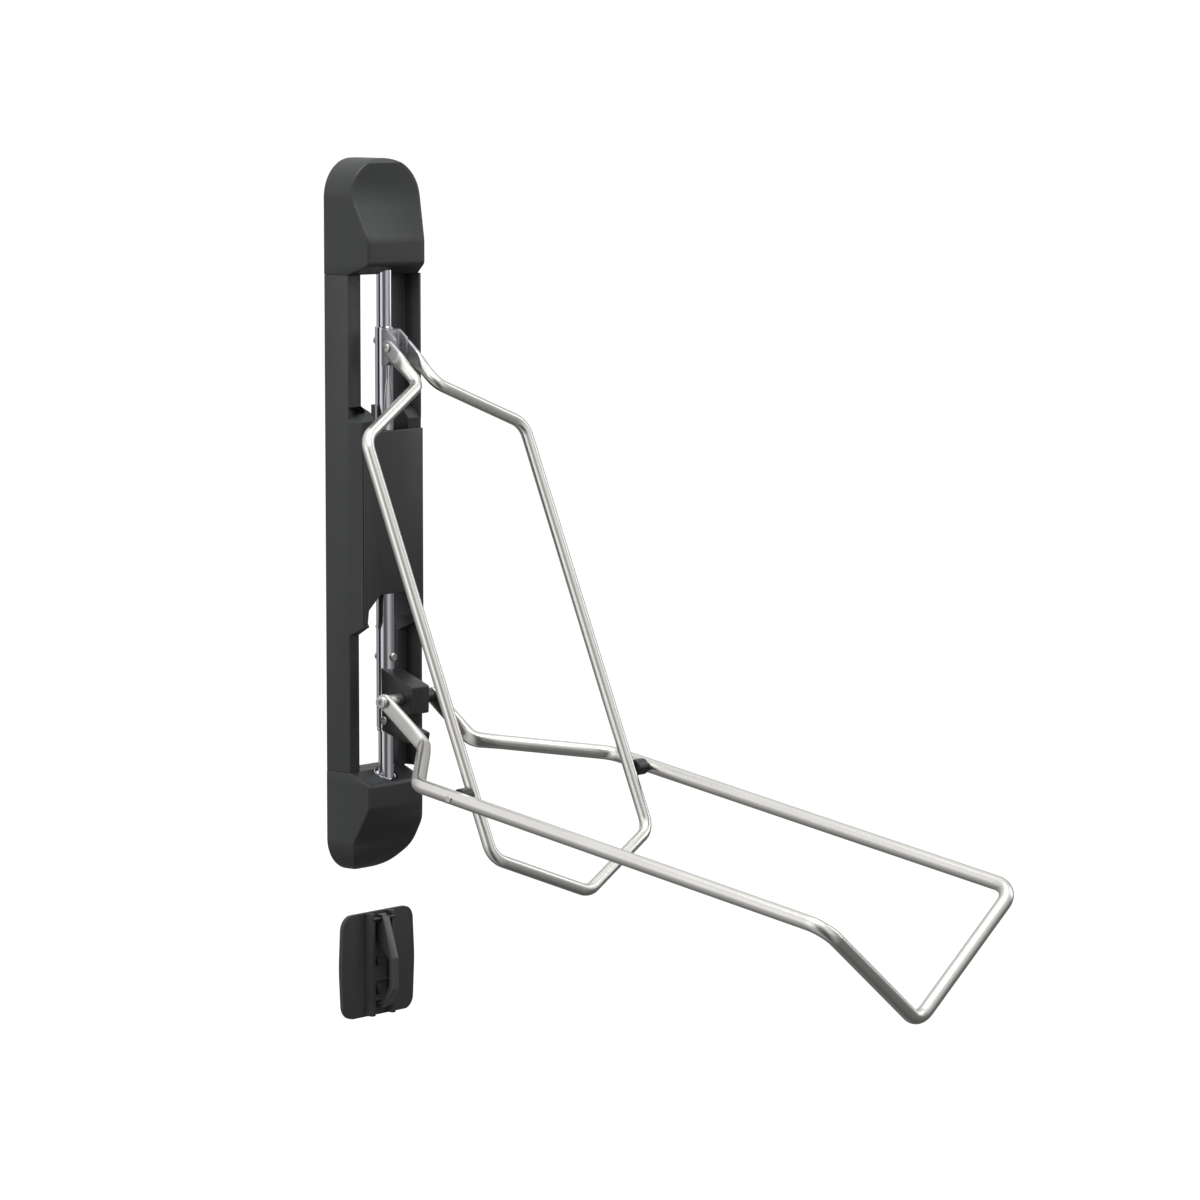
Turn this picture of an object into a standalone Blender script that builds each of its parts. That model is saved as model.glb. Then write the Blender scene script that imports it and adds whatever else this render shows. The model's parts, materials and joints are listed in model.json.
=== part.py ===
"""Bicycle wall rack: a wall housing with a pole, a swinging carriage with two bent-tube
frames linked as a slider-crank, and a separate tyre rest on the wall below.
Metres, +Z up, wall plane Y = 0, the rack stands out towards -Y. Origin: back of the centre plate."""
import math

import bmesh
import bpy
from mathutils import Matrix, Vector

MM = 0.001
GAP = 0.0003

# housing
HALF_WIDTH = 0.0425
HALF_HEIGHT = 0.350
SEAM_TOP = 0.2376
SEAM_BOTTOM = -0.2486
POST_DEPTH = 0.031
PANEL_DEPTH = 0.0525
PANEL_THICKNESS = 0.0026
WALL = 0.003
CENTRE_TOP = 0.097
CENTRE_BOTTOM = -0.103
FIN_DEPTH = 0.0500

# pole and carriage
POLE_Y = -0.040
POLE_RADIUS = 0.0076
SLEEVE_RADIUS = 0.0092
SLEEVE_BORE = POLE_RADIUS + GAP
CLEVIS_PIVOT = Vector((0.0, -0.057, 0.167))
FRAME_PIVOT = Vector((0.0, -0.0704, -0.176))
CROSSING = Vector((0.0, -0.2551, -0.2407))
STRUT_Y = -0.0185
RING_PLACE = Vector((0.0, -0.040, -0.2531))
RING_AXIS = Vector((0.0, -0.4327, 0.9016))

# upright hoop
HOOP_RADIUS = 0.0059
HOOP_EAR = 0.0128
HOOP_HALF = 0.115
HOOP_NECK = Vector((HOOP_EAR, -0.0965, 0.133))
HOOP_SHOULDER = Vector((HOOP_HALF, -0.1199, 0.0887))
HOOP_FOOT = Vector((HOOP_HALF, -0.2787, -0.2983))
HOOP_TIP = Vector((0.0, -0.3000, -0.3426))

# lower frame
TUBE_RADIUS = 0.0070
ARM_HALF = 0.0345
TUBE_HALF = 0.143
ARM_END = Vector((ARM_HALF, -0.1215, -0.2153))
TUBE_START = Vector((TUBE_HALF, -0.2102, -0.2327))
TUBE_OUTER = Vector((TUBE_HALF, -0.6960, -0.3160))
TUBE_TIP = Vector((0.0, -0.6920, -0.4215))

# tyre rest
REST_X = 0.0265
REST_TOP = -0.3969
REST_BOTTOM = -0.5009
REST_HALF_WIDTH = 0.0537
REST_THICKNESS = 0.0045
REST_PIN = Vector((REST_X, -0.0108, REST_TOP - 0.0065))

PARTS = "bicycle_wall_rack"
CUTTERS = "cutters"

BLACK = ("black_plastic", (0.040, 0.043, 0.043), 0.55, 0.0)
DARK = ("dark_nylon", (0.020, 0.020, 0.022), 0.45, 0.0)
STAINLESS = ("satin_stainless", (0.62, 0.61, 0.58), 0.30, 1.0)
CHROME = ("chromed_steel", (0.70, 0.71, 0.74), 0.10, 1.0)
ALUMINIUM = ("cast_aluminium", (0.50, 0.51, 0.52), 0.38, 1.0)
STEEL = ("zinc_steel", (0.46, 0.46, 0.45), 0.40, 1.0)


def clear_scene():
    for thing in list(bpy.data.objects):
        bpy.data.objects.remove(thing, do_unlink=True)
    for collection in list(bpy.data.collections):
        bpy.data.collections.remove(collection)
    for name in (PARTS, CUTTERS):
        bpy.context.scene.collection.children.link(bpy.data.collections.new(name))


def material(finish):
    name, colour, roughness, metallic = finish
    made = bpy.data.materials.get(name)
    if made is None:
        made = bpy.data.materials.new(name)
        made.use_nodes = True
        shader = made.node_tree.nodes["Principled BSDF"]
        shader.inputs["Base Color"].default_value = (*colour, 1.0)
        shader.inputs["Roughness"].default_value = roughness
        shader.inputs["Metallic"].default_value = metallic
    return made


def add_object(name, mesh, finish):
    """A part when it has a finish, otherwise a hidden cutter."""
    thing = bpy.data.objects.new(name, mesh)
    if finish is None:
        bpy.data.collections[CUTTERS].objects.link(thing)
        thing.hide_render = True
        thing.display_type = "WIRE"
        return thing
    bpy.data.collections[PARTS].objects.link(thing)
    mesh.materials.clear()
    mesh.materials.append(material(finish))
    mesh.shade_smooth()
    mesh.set_sharp_from_angle(angle=math.radians(35))
    return thing


def rounded(corners, segments=5):
    """Outline from (x, y) or (x, y, radius) corners; a radius turns the corner into an arc."""
    points = []
    for i, corner in enumerate(corners):
        here = Vector(corner[:2])
        radius = corner[2] if len(corner) > 2 else 0.0
        if radius == 0.0:
            points.append(here)
            continue
        before = (Vector(corners[i - 1][:2]) - here).normalized()
        after = (Vector(corners[(i + 1) % len(corners)][:2]) - here).normalized()
        half = before.angle(after) / 2
        centre = here + (before + after).normalized() * radius / math.sin(half)
        start = here + before * radius / math.tan(half) - centre
        sweep = start.angle_signed(here + after * radius / math.tan(half) - centre)
        for k in range(segments + 1):
            turn = -sweep * k / segments
            c, s = math.cos(turn), math.sin(turn)
            points.append(centre + Vector((start.x * c - start.y * s, start.x * s + start.y * c)))
    return points


PLANES = {
    "X": Matrix(((0, 0, 1), (1, 0, 0), (0, 1, 0))).to_4x4(),
    "Y": Matrix(((1, 0, 0), (0, 0, -1), (0, 1, 0))).to_4x4(),
    "Z": Matrix.Identity(4),
}


def extruded(name, outline, axis, low, high, finish=None):
    """Solid between two stations on an axis. The outline is (y, z) for X, (x, z) for Y, (x, y) for Z."""
    curve = bpy.data.curves.new(name, "CURVE")
    curve.dimensions = "2D"
    curve.fill_mode = "BOTH"
    curve.extrude = (high - low) / 2
    spline = curve.splines.new("POLY")
    spline.points.add(len(outline) - 1)
    for point, place in zip(spline.points, outline):
        point.co = (place[0], place[1], 0.0, 1.0)
    spline.use_cyclic_u = True
    drawn = bpy.data.objects.new(name + "_outline", curve)
    bpy.context.scene.collection.objects.link(drawn)
    graph = bpy.context.evaluated_depsgraph_get()
    mesh = bpy.data.meshes.new_from_object(drawn.evaluated_get(graph))
    bpy.data.objects.remove(drawn, do_unlink=True)
    middle = (low + high) / 2 * (-1 if axis == "Y" else 1)
    mesh.transform(PLANES[axis] @ Matrix.Translation((0, 0, middle)))
    bm = bmesh.new()
    bm.from_mesh(mesh)
    bmesh.ops.remove_doubles(bm, verts=bm.verts, dist=1e-6)
    bmesh.ops.dissolve_limit(bm, angle_limit=math.radians(0.5), verts=bm.verts, edges=bm.edges)
    bmesh.ops.recalc_face_normals(bm, faces=bm.faces)
    bm.to_mesh(mesh)
    bm.free()
    mesh.name = name
    return add_object(name, mesh, finish)


def box(name, low, high, finish=None):
    bm = bmesh.new()
    bmesh.ops.create_cube(bm, size=1.0)
    low, high = Vector(low), Vector(high)
    size = high - low
    bmesh.ops.scale(bm, vec=size, verts=bm.verts)
    bmesh.ops.translate(bm, vec=(low + high) / 2, verts=bm.verts)
    mesh = bpy.data.meshes.new(name)
    bm.to_mesh(mesh)
    bm.free()
    return add_object(name, mesh, finish)


def cylinder(name, start, end, radius, finish=None, sides=24, end_radius=None):
    start, end = Vector(start), Vector(end)
    along = end - start
    bm = bmesh.new()
    bmesh.ops.create_cone(
        bm,
        cap_ends=True,
        segments=sides,
        radius1=radius,
        radius2=radius if end_radius is None else end_radius,
        depth=along.length,
    )
    turn = Vector((0, 0, 1)).rotation_difference(along.normalized()).to_matrix().to_4x4()
    bmesh.ops.transform(bm, matrix=Matrix.Translation((start + end) / 2) @ turn, verts=bm.verts)
    mesh = bpy.data.meshes.new(name)
    bm.to_mesh(mesh)
    bm.free()
    return add_object(name, mesh, finish)


def turned(name, profile, origin, direction, finish, sides=24, closed=False):
    """Screw modifier around `direction`. The profile is (radius, distance), run down its outer side."""
    mesh = bpy.data.meshes.new(name)
    count = len(profile)
    edges = [(i, i + 1) for i in range(count - 1)]
    if closed:
        edges.append((count - 1, 0))
    mesh.from_pydata([(radius, 0.0, height) for radius, height in profile], edges, [])
    thing = add_object(name, mesh, finish)
    thing.location = origin
    thing.rotation_mode = "QUATERNION"
    thing.rotation_quaternion = Vector((0, 0, 1)).rotation_difference(Vector(direction))
    screw = thing.modifiers.new("turn", "SCREW")
    screw.axis = "Z"
    screw.angle = math.tau
    screw.steps = screw.render_steps = sides
    screw.use_merge_vertices = True
    screw.merge_threshold = 0.00002
    screw.use_smooth_shade = True
    return thing


def ring(name, origin, direction, outer, inner, length, finish, sides=24):
    """A tube or washer from `origin`, `length` along `direction`."""
    profile = [(outer, length), (outer, 0.0), (inner, 0.0), (inner, length)]
    return turned(name, profile, origin, direction, finish, sides, closed=True)


def screw_solid(name, origin, direction, head_radius, head_height, shank_radius, length, finish, sides=20):
    """A screw whose head's underside is at `origin`; the shank runs against `direction`."""
    crown = head_height * 0.25
    profile = [
        (0.0, head_height),
        (head_radius - crown, head_height),
        (head_radius, head_height - crown),
        (head_radius, 0.0),
        (shank_radius, 0.0),
        (shank_radius, -length),
        (0.0, -length),
    ]
    return turned(name, profile, origin, direction, finish, sides)


def boolean(thing, other, operation="DIFFERENCE"):
    step = thing.modifiers.new(other.name, "BOOLEAN")
    step.operation = operation
    step.solver = "EXACT"
    step.object = other
    return thing


def bent_path(points, radii, segments=6):
    """Points along straight runs joined by arcs; radii are for the inner points."""
    path = [points[0].copy()]
    for i in range(1, len(points) - 1):
        here = points[i]
        before = (points[i - 1] - here).normalized()
        after = (points[i + 1] - here).normalized()
        half = before.angle(after) / 2
        radius = radii[i - 1]
        centre = here + (before + after).normalized() * radius / math.sin(half)
        start = here + before * radius / math.tan(half) - centre
        sweep = math.pi - 2 * half
        axis = start.cross(here + after * radius / math.tan(half) - centre).normalized()
        for k in range(segments + 1):
            path.append(centre + Matrix.Rotation(sweep * k / segments, 3, axis) @ start)
    path.append(points[-1].copy())
    return path


def with_stations(path, distances):
    """Adds points at the given distances from the start, for changes of section."""
    stations = []
    travelled = 0.0
    marks = sorted(distances)
    for a, b in zip(path, path[1:]):
        stations.append((travelled, a))
        length = (b - a).length
        inside = [m for m in marks if travelled < m < travelled + length]
        stations += [(m, a.lerp(b, (m - travelled) / length)) for m in inside]
        travelled += length
    stations.append((travelled, path[-1]))
    return stations


def section(flatness, half_thick, half_wide, radius, sides):
    """Ring of (thickness, width) places: a rounded bar where flatness is 1, a circle where it is 0."""
    power = 2.0 / (2.0 + 3.0 * flatness)
    thick = radius + (half_thick - radius) * flatness
    wide = radius + (half_wide - radius) * flatness
    ring_points = []
    for k in range(sides):
        angle = math.tau * (k + 0.5) / sides
        c, s = math.cos(angle), math.sin(angle)
        ring_points.append(
            (thick * math.copysign(abs(c) ** power, c), wide * math.copysign(abs(s) ** power, s))
        )
    return ring_points


def flat_ended_tube(name, eye, path, radius, half_thick, half_wide, flat_length, blend_length, finish, sides=12):
    """Half of a bent tube with a flattened, round-ended eye, mirrored at X = 0."""
    marks = [flat_length, flat_length + blend_length * 0.5, flat_length + blend_length]
    stations = with_stations(path, marks)
    first = (path[1] - path[0]).normalized()
    ends = [(math.radians(a)) for a in (80, 60, 35, 12)]
    rows = []
    thick_axis = Vector((1, 0, 0))
    thick_axis = (thick_axis - first * thick_axis.dot(first)).normalized()
    for angle in ends:
        centre = path[0] - first * half_wide * math.sin(angle)
        rows.append((centre, first, 1.0, half_wide * math.cos(angle)))
    for i, (distance, place) in enumerate(stations):
        if place.x < -1e-6:
            break
        before = place - stations[i - 1][1] if i else first
        after = stations[i + 1][1] - place if i + 1 < len(stations) else before
        tangent = (before.normalized() + after.normalized()).normalized()
        share = min(max((distance - flat_length) / blend_length, 0.0), 1.0)
        rows.append((place, tangent, 1.0 - share, half_wide))
    bm = bmesh.new()
    last_ring = None
    for centre, tangent, flatness, wide in rows:
        thick_axis = (thick_axis - tangent * thick_axis.dot(tangent)).normalized()
        wide_axis = tangent.cross(thick_axis)
        shape = section(flatness, half_thick, wide, radius, sides)
        ring_verts = [bm.verts.new(centre + thick_axis * t + wide_axis * w) for t, w in shape]
        if last_ring is None:
            bm.faces.new(list(reversed(ring_verts)))
        else:
            for k in range(sides):
                n = (k + 1) % sides
                bm.faces.new((last_ring[k], last_ring[n], ring_verts[n], ring_verts[k]))
        last_ring = ring_verts
    for vert in last_ring:
        vert.co.x = 0.0
    bmesh.ops.recalc_face_normals(bm, faces=bm.faces)
    mesh = bpy.data.meshes.new(name)
    bm.to_mesh(mesh)
    bm.free()
    thing = add_object(name, mesh, finish)
    mirror = thing.modifiers.new("other_half", "MIRROR")
    mirror.use_clip = True
    mirror.merge_threshold = 0.00002
    hole = cylinder(name + "_eye_cut", eye - Vector((0.08, 0, 0)), eye + Vector((0.08, 0, 0)), EYE_RADIUS[name])
    return boolean(thing, hole)


EYE_RADIUS = {"upright_hoop": 0.0034, "lower_frame": 0.0043}


def housing_body():
    """Two posts joined by bridges behind the centre, with side walls and two fins on the right."""
    side = [
        (0.0, SEAM_BOTTOM),
        (-FIN_DEPTH, SEAM_BOTTOM),
        (-FIN_DEPTH, CENTRE_BOTTOM - 0.011),
        (-PANEL_DEPTH + PANEL_THICKNESS + GAP, CENTRE_BOTTOM),
        (-PANEL_DEPTH + PANEL_THICKNESS + GAP, CENTRE_TOP - 0.003),
        (-FIN_DEPTH, CENTRE_TOP),
        (-FIN_DEPTH, SEAM_TOP),
        (0.0, SEAM_TOP),
    ]
    body = extruded("housing_body", side, "X", -HALF_WIDTH, HALF_WIDTH, BLACK)
    upper = [
        (-0.024, 0.080),
        (0.024, 0.080),
        (0.024, SEAM_TOP + 0.01),
        (-0.024, SEAM_TOP + 0.01),
    ]
    lower = [
        (-0.0285, SEAM_BOTTOM - 0.01),
        (0.0285, SEAM_BOTTOM - 0.01),
        (0.0285, CENTRE_BOTTOM - 0.011),
        (0.0365, CENTRE_BOTTOM + 0.004),
        (0.0365, -0.077),
        (-0.0365, -0.077),
        (-0.0365, CENTRE_BOTTOM + 0.004),
        (-0.0285, CENTRE_BOTTOM - 0.011),
    ]
    boolean(body, extruded("upper_window_cut", upper, "Y", -0.07, 0.01))
    boolean(body, extruded("lower_window_cut", lower, "Y", -0.07, 0.01))
    inner = HALF_WIDTH - WALL
    flange = -POST_DEPTH + WALL
    boolean(body, box("upper_post_cut", (-inner, flange, 0.107), (inner, 0.01, SEAM_TOP + 0.01)))
    low_end = CENTRE_BOTTOM - 0.011
    boolean(body, box("lower_post_cut", (-inner, flange, SEAM_BOTTOM - 0.01), (inner, 0.01, low_end)))
    brow = [
        (-POST_DEPTH, SEAM_TOP + 0.01),
        (-POST_DEPTH, 0.1096),
        (-0.0430, 0.1045),
        (-0.0520, 0.0935),
        (-0.0800, 0.0935),
        (-0.0800, SEAM_TOP + 0.01),
    ]
    boolean(body, extruded("upper_step_cut", brow, "X", -0.06, inner))
    facet = [(-0.060, 0.0826), (-0.0235, 0.1100), (-0.060, 0.1300)]
    boolean(body, extruded("left_facet_cut", facet, "Y", -0.07, -POST_DEPTH))
    ramp = [
        (-POST_DEPTH, SEAM_BOTTOM - 0.01),
        (-0.08, SEAM_BOTTOM - 0.01),
        (-0.08, CENTRE_BOTTOM),
        (-PANEL_DEPTH, CENTRE_BOTTOM),
        (-POST_DEPTH, CENTRE_BOTTOM - 0.011),
    ]
    boolean(body, extruded("lower_step_cut", ramp, "X", -0.06, inner))
    boolean(body, box("centre_cut", (-inner, -0.07, -0.066), (inner, 0.01, 0.084)))
    boolean(body, cylinder("bridge_cut", (0, POLE_Y, -0.2), (0, POLE_Y, 0.2), 0.0125))
    boolean(body, box("bridge_front_cut", (-0.0365, -0.07, -0.08), (0.0365, POLE_Y + 0.012, -0.06)))
    return body


def front_panel():
    """Cover of the boxed centre, with a sloped head and an arched foot."""
    front = [
        (-HALF_WIDTH, CENTRE_BOTTOM + 0.002),
        (-0.0385, CENTRE_BOTTOM + 0.002),
        (-0.0368, -0.088),
        (-0.0200, -0.074),
        (0.0200, -0.074),
        (0.0368, -0.088),
        (0.0385, CENTRE_BOTTOM + 0.002),
        (HALF_WIDTH, CENTRE_BOTTOM + 0.002),
        (HALF_WIDTH, 0.0860),
        (-HALF_WIDTH, 0.0860),
    ]
    panel = extruded("front_panel", front, "Y", -PANEL_DEPTH, -PANEL_DEPTH + PANEL_THICKNESS, BLACK)
    return panel


def lofted(name, left, right, finish=None):
    """Ruled solid between two (y, z) outlines with matching points, drawn at the housing's two sides."""
    reach = 0.060
    stations = 8
    pairs = []
    for i, (a, b) in enumerate(zip(left, right)):
        next_a, next_b = left[(i + 1) % len(left)], right[(i + 1) % len(right)]
        steps = max(1, math.ceil((next_a - a).length / 0.010))
        pairs += [(a.lerp(next_a, k / steps), b.lerp(next_b, k / steps)) for k in range(steps)]
    bm = bmesh.new()
    rows = []
    for k in range(stations + 1):
        x = -reach + 2 * reach * k / stations
        share = (x + HALF_WIDTH) / (2 * HALF_WIDTH)
        places = [a + (b - a) * share for a, b in pairs]
        rows.append([bm.verts.new((x, place.x, place.y)) for place in places])
    for first, second in zip(rows, rows[1:]):
        for i in range(len(first)):
            n = (i + 1) % len(first)
            bm.faces.new((first[i], first[n], second[n], second[i]))
    bm.faces.new(rows[0])
    bm.faces.new(rows[-1])
    bmesh.ops.recalc_face_normals(bm, faces=bm.faces)
    mesh = bpy.data.meshes.new(name)
    bm.to_mesh(mesh)
    bm.free()
    return add_object(name, mesh, finish)


def cap_solid(name, shape, inset, finish):
    """One end cap: front outline times a ruled profile; `inset` shrinks it for the hollow."""
    seam, end, corner = shape["seam"], shape["end"], shape["corner"]
    up = 1.0 if end > seam else -1.0
    half = HALF_WIDTH - inset
    start = seam + up * (GAP + inset)
    end -= up * inset
    back = 0.0 if inset == 0.0 else 0.01
    radius = corner - inset
    front = [(-half, start), (half, start), (half, end, radius), (-half, end, radius)]
    if up < 0:
        front.reverse()
    sides = []
    for profile in (shape["left"], shape["right"]):
        nose, (shoulder, shoulder_z, bend), (waist, waist_z, sweep), top = profile
        outline = [
            (back, start),
            (-POST_DEPTH, start),
            (-nose[0] + inset, nose[1] + up * inset, nose[2]),
            (-shoulder + inset, shoulder_z, bend),
            (-waist + inset, waist_z, sweep),
            (-top + inset, end),
            (back, end),
        ]
        sides.append(rounded(outline, 5))
    solid = extruded(name, rounded(front, 8), "Y", -0.08, back, finish)
    boolean(solid, lofted(name + "_profile", *sides), "INTERSECT")
    depth = shape["left"][0][0] - inset
    plan = [(-0.06, 0.02), (-0.06, -depth), (half, -depth, shape["cheek"] - inset), (half, 0.02)]
    low, high = min(seam, shape["end"]) - 0.01, max(seam, shape["end"]) + 0.01
    return boolean(solid, extruded(name + "_plan", rounded(plan, 10), "Z", low, high), "INTERSECT")


UPPER_CAP = {
    "seam": SEAM_TOP,
    "end": HALF_HEIGHT,
    "corner": 0.038,
    "cheek": 0.0095,
    "left": ((0.0582, 0.2471, 0.006), (0.0582, 0.2730, 0.014), (0.0346, 0.3160, 0.022), 0.0345),
    "right": ((0.0582, 0.2471, 0.006), (0.0582, 0.2696, 0.030), (0.0522, 0.3170, 0.040), 0.0505),
}
LOWER_CAP = {
    "seam": SEAM_BOTTOM,
    "end": -HALF_HEIGHT,
    "corner": 0.034,
    "cheek": 0.0160,
    "left": ((0.0563, -0.2595, 0.005), (0.0564, -0.2829, 0.010), (0.0352, -0.3193, 0.012), 0.0350),
    "right": ((0.0563, -0.2595, 0.005), (0.0564, -0.2826, 0.014), (0.0372, -0.3370, 0.012), 0.0360),
}


def cap(name, shape):
    shell = cap_solid(name, shape, 0.0, BLACK)
    boolean(shell, cap_solid(name + "_hollow", shape, WALL, None))
    if shape is UPPER_CAP:
        low, high = shape["seam"] - 0.02, shape["seam"] + 0.02
        return boolean(shell, cylinder(name + "_pole_cut", (0, POLE_Y, low), (0, POLE_Y, high), POLE_RADIUS + 0.0006))
    reach = RING_AXIS * 0.018
    return boolean(shell, cylinder(name + "_pole_cut", RING_PLACE - reach, RING_PLACE + reach, 0.0128, sides=32))


def build_housing():
    housing_body()
    front_panel()
    cap("upper_cap", UPPER_CAP)
    cap("lower_cap", LOWER_CAP)
    plate = box("back_plate", (-0.0390, -0.0030, -0.0655), (0.0390, 0.0, 0.0835), STEEL)
    for k, (x, z) in enumerate(((-0.026, 0.064), (0.026, 0.064), (-0.026, -0.046), (0.026, -0.046))):
        boolean(plate, cylinder(f"plate_hole_{k}", (x, -0.01, z), (x, 0.01, z), 0.0033, sides=16))
        screw_solid(f"plate_screw_{k + 1}", (x, -0.0033, z), (0, -1, 0), 0.0062, 0.0035, 0.0030, 0.0033, STEEL)


def bracket(name, up, shelf):
    """Wall bracket inside a cap: a back leaf and a shelf that the pole stands in."""
    low = shelf - up * 0.003
    high = shelf + up * 0.003
    tall = shelf + up * 0.052
    side = [
        (-0.0003, low),
        (-0.0520, low),
        (-0.0520, high),
        (-0.0045, high),
        (-0.0045, tall),
        (-0.0003, tall),
    ]
    leaf = extruded(name, side, "X", -0.026, 0.026, STEEL)
    boolean(leaf, cylinder(name + "_pole_cut", (0, POLE_Y, low - up * 0.01), (0, POLE_Y, high + up * 0.01), SLEEVE_BORE))
    for k, x in enumerate((-0.015, 0.015)):
        z = shelf + up * 0.035
        boolean(leaf, cylinder(f"{name}_hole_{k}", (x, -0.01, z), (x, 0.01, z), 0.0037, sides=16))
        screw = f"{name}_screw_{k + 1}"
        screw_solid(screw, (x, -0.0048, z), (0, -1, 0), 0.0070, 0.0045, 0.0034, 0.0048, STEEL)


def build_pole():
    upper_shelf, lower_shelf = 0.2620, -0.2730
    bracket("upper_bracket", 1.0, upper_shelf)
    bracket("lower_bracket", -1.0, lower_shelf)
    cylinder("pole", (0, POLE_Y, lower_shelf - 0.012), (0, POLE_Y, upper_shelf + 0.012), POLE_RADIUS, CHROME, 32)
    for name, low in (("upper_pole_nut", upper_shelf + 0.0033), ("lower_pole_nut", lower_shelf - 0.0103)):
        nut = cylinder(name, (0, POLE_Y, low), (0, POLE_Y, low + 0.0070), 0.0118, STEEL, 6)
        bore = cylinder(name + "_bore", (0, POLE_Y, low - 0.01), (0, POLE_Y, low + 0.02), SLEEVE_BORE, sides=32)
        boolean(nut, bore)
    ring("pole_ring", RING_PLACE - RING_AXIS * 0.0016, RING_AXIS, 0.0124, 0.0100, 0.0020, CHROME, 28)
    ring("stop_collar", (0, POLE_Y, -0.2103), (0, 0, 1), SLEEVE_RADIUS - 0.0004, SLEEVE_BORE, 0.0030, CHROME, 28)


def pivot_block():
    side = [
        (-0.0450, -0.1470),
        (-0.0860, -0.1632, 0.002),
        (-0.0855, -0.1900, 0.002),
        (-0.0735, -0.1910, 0.003),
        (-0.0735, -0.2050, 0.004),
        (-0.0870, -0.2095, 0.002),
        (-0.0850, -0.2190, 0.003),
        (-0.0660, -0.2150, 0.020),
        (-0.0460, -0.2085, 0.001),
    ]
    block = extruded("pivot_block", rounded(side, 4), "X", -0.0128, 0.0128, DARK)
    boolean(block, cylinder("block_sleeve_cut", (0, POLE_Y, -0.25), (0, POLE_Y, -0.1), SLEEVE_RADIUS + GAP, sides=32))
    across = Vector((0.05, 0, 0))
    boolean(block, cylinder("block_bolt_cut", FRAME_PIVOT - across, FRAME_PIVOT + across, 0.0043))
    return block


def build_mast():
    """What swings with the carriage about the pole, but doesn't slide."""
    ring("lower_sleeve", (0, POLE_Y, -0.2070), (0, 0, 1), SLEEVE_RADIUS, SLEEVE_BORE, 0.1570, CHROME, 32)
    pivot_block()
    for name, side, spacer in (("left", -1.0, STEEL), ("right", 1.0, DARK)):
        out = (side, 0, 0)
        seat = Vector((side * (ARM_HALF + 0.0033), FRAME_PIVOT.y, FRAME_PIVOT.z))
        screw_solid(f"pivot_bolt_{name}", seat, out, 0.0066, 0.0042, 0.0039, 0.0340, STEEL)
        inner = Vector((side * 0.0131, FRAME_PIVOT.y, FRAME_PIVOT.z))
        ring(f"pivot_spacer_{name}", inner, out, 0.0066, 0.0042, ARM_HALF - 0.0033 - 0.0131, spacer)
    screw_solid("block_screw", (-0.0131, -0.0500, -0.1985), (-1, 0, 0), 0.0042, 0.0018, 0.0022, -0.0001, STEEL)
    for name, side in (("front", -1.0), ("rear", 1.0)):
        seat = (0, POLE_Y + side * (SLEEVE_RADIUS + GAP), -0.1370)
        screw_solid(f"sleeve_screw_{name}", seat, (0, side, 0), 0.0040, 0.0022, 0.0020, -0.0001, STEEL)
    strut_lug("lower_strut_lug", -0.0635)
    bore = [
        (0.0, 0.0040),
        (0.0050, 0.0040),
        (0.0050, 0.0740),
        (0.0095, 0.0740),
        (0.0095, 0.0),
        (0.0, 0.0),
    ]
    turned("strut_cylinder", bore, (0, STRUT_Y, -0.0512), (0, 0, 1), DARK, 24)


def strut_lug(name, low):
    """Arm from a sleeve back to the gas strut."""
    outline = rounded(
        [
            (0.0120, POLE_Y),
            (0.0080, STRUT_Y + 0.0080, 0.004),
            (-0.0080, STRUT_Y + 0.0080, 0.004),
            (-0.0120, POLE_Y),
        ],
        4,
    )
    lug = extruded(name, outline, "Z", low, low + 0.0120, ALUMINIUM)
    return boolean(lug, cylinder(name + "_cut", (0, POLE_Y, low - 0.01), (0, POLE_Y, low + 0.03), SLEEVE_RADIUS + GAP))


def clevis():
    """Saddle on the front of the upper sleeve with two ears that hold the hoop."""
    pivot = CLEVIS_PIVOT
    outline = rounded(
        [
            (0.0102, -0.0700),
            (0.0102, -0.0455),
            (-0.0102, -0.0455),
            (-0.0102, -0.0700),
            (-0.0068, -0.0700),
            (-0.0068, -0.0528, 0.002),
            (0.0068, -0.0528, 0.002),
            (0.0068, -0.0700),
        ],
        4,
    )
    body = extruded("clevis", outline, "Z", 0.1400, 0.1900, ALUMINIUM)
    side = rounded(
        [
            (-0.0400, 0.1845),
            (-0.0520, 0.1845, 0.004),
            (pivot.y - 0.0054, pivot.z + 0.0090, 0.006),
            (pivot.y - 0.0054, pivot.z - 0.0070, 0.006),
            (-0.0500, 0.1490, 0.004),
            (-0.0400, 0.1490),
        ],
        5,
    )
    boolean(body, extruded("clevis_profile", side, "X", -0.03, 0.03), "INTERSECT")
    boolean(body, cylinder("clevis_sleeve_cut", (0, POLE_Y, 0.1), (0, POLE_Y, 0.25), SLEEVE_RADIUS + GAP, sides=32))
    across = Vector((0.03, 0, 0))
    boolean(body, cylinder("clevis_pin_cut", pivot - across, pivot + across, 0.0033))
    return body


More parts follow.
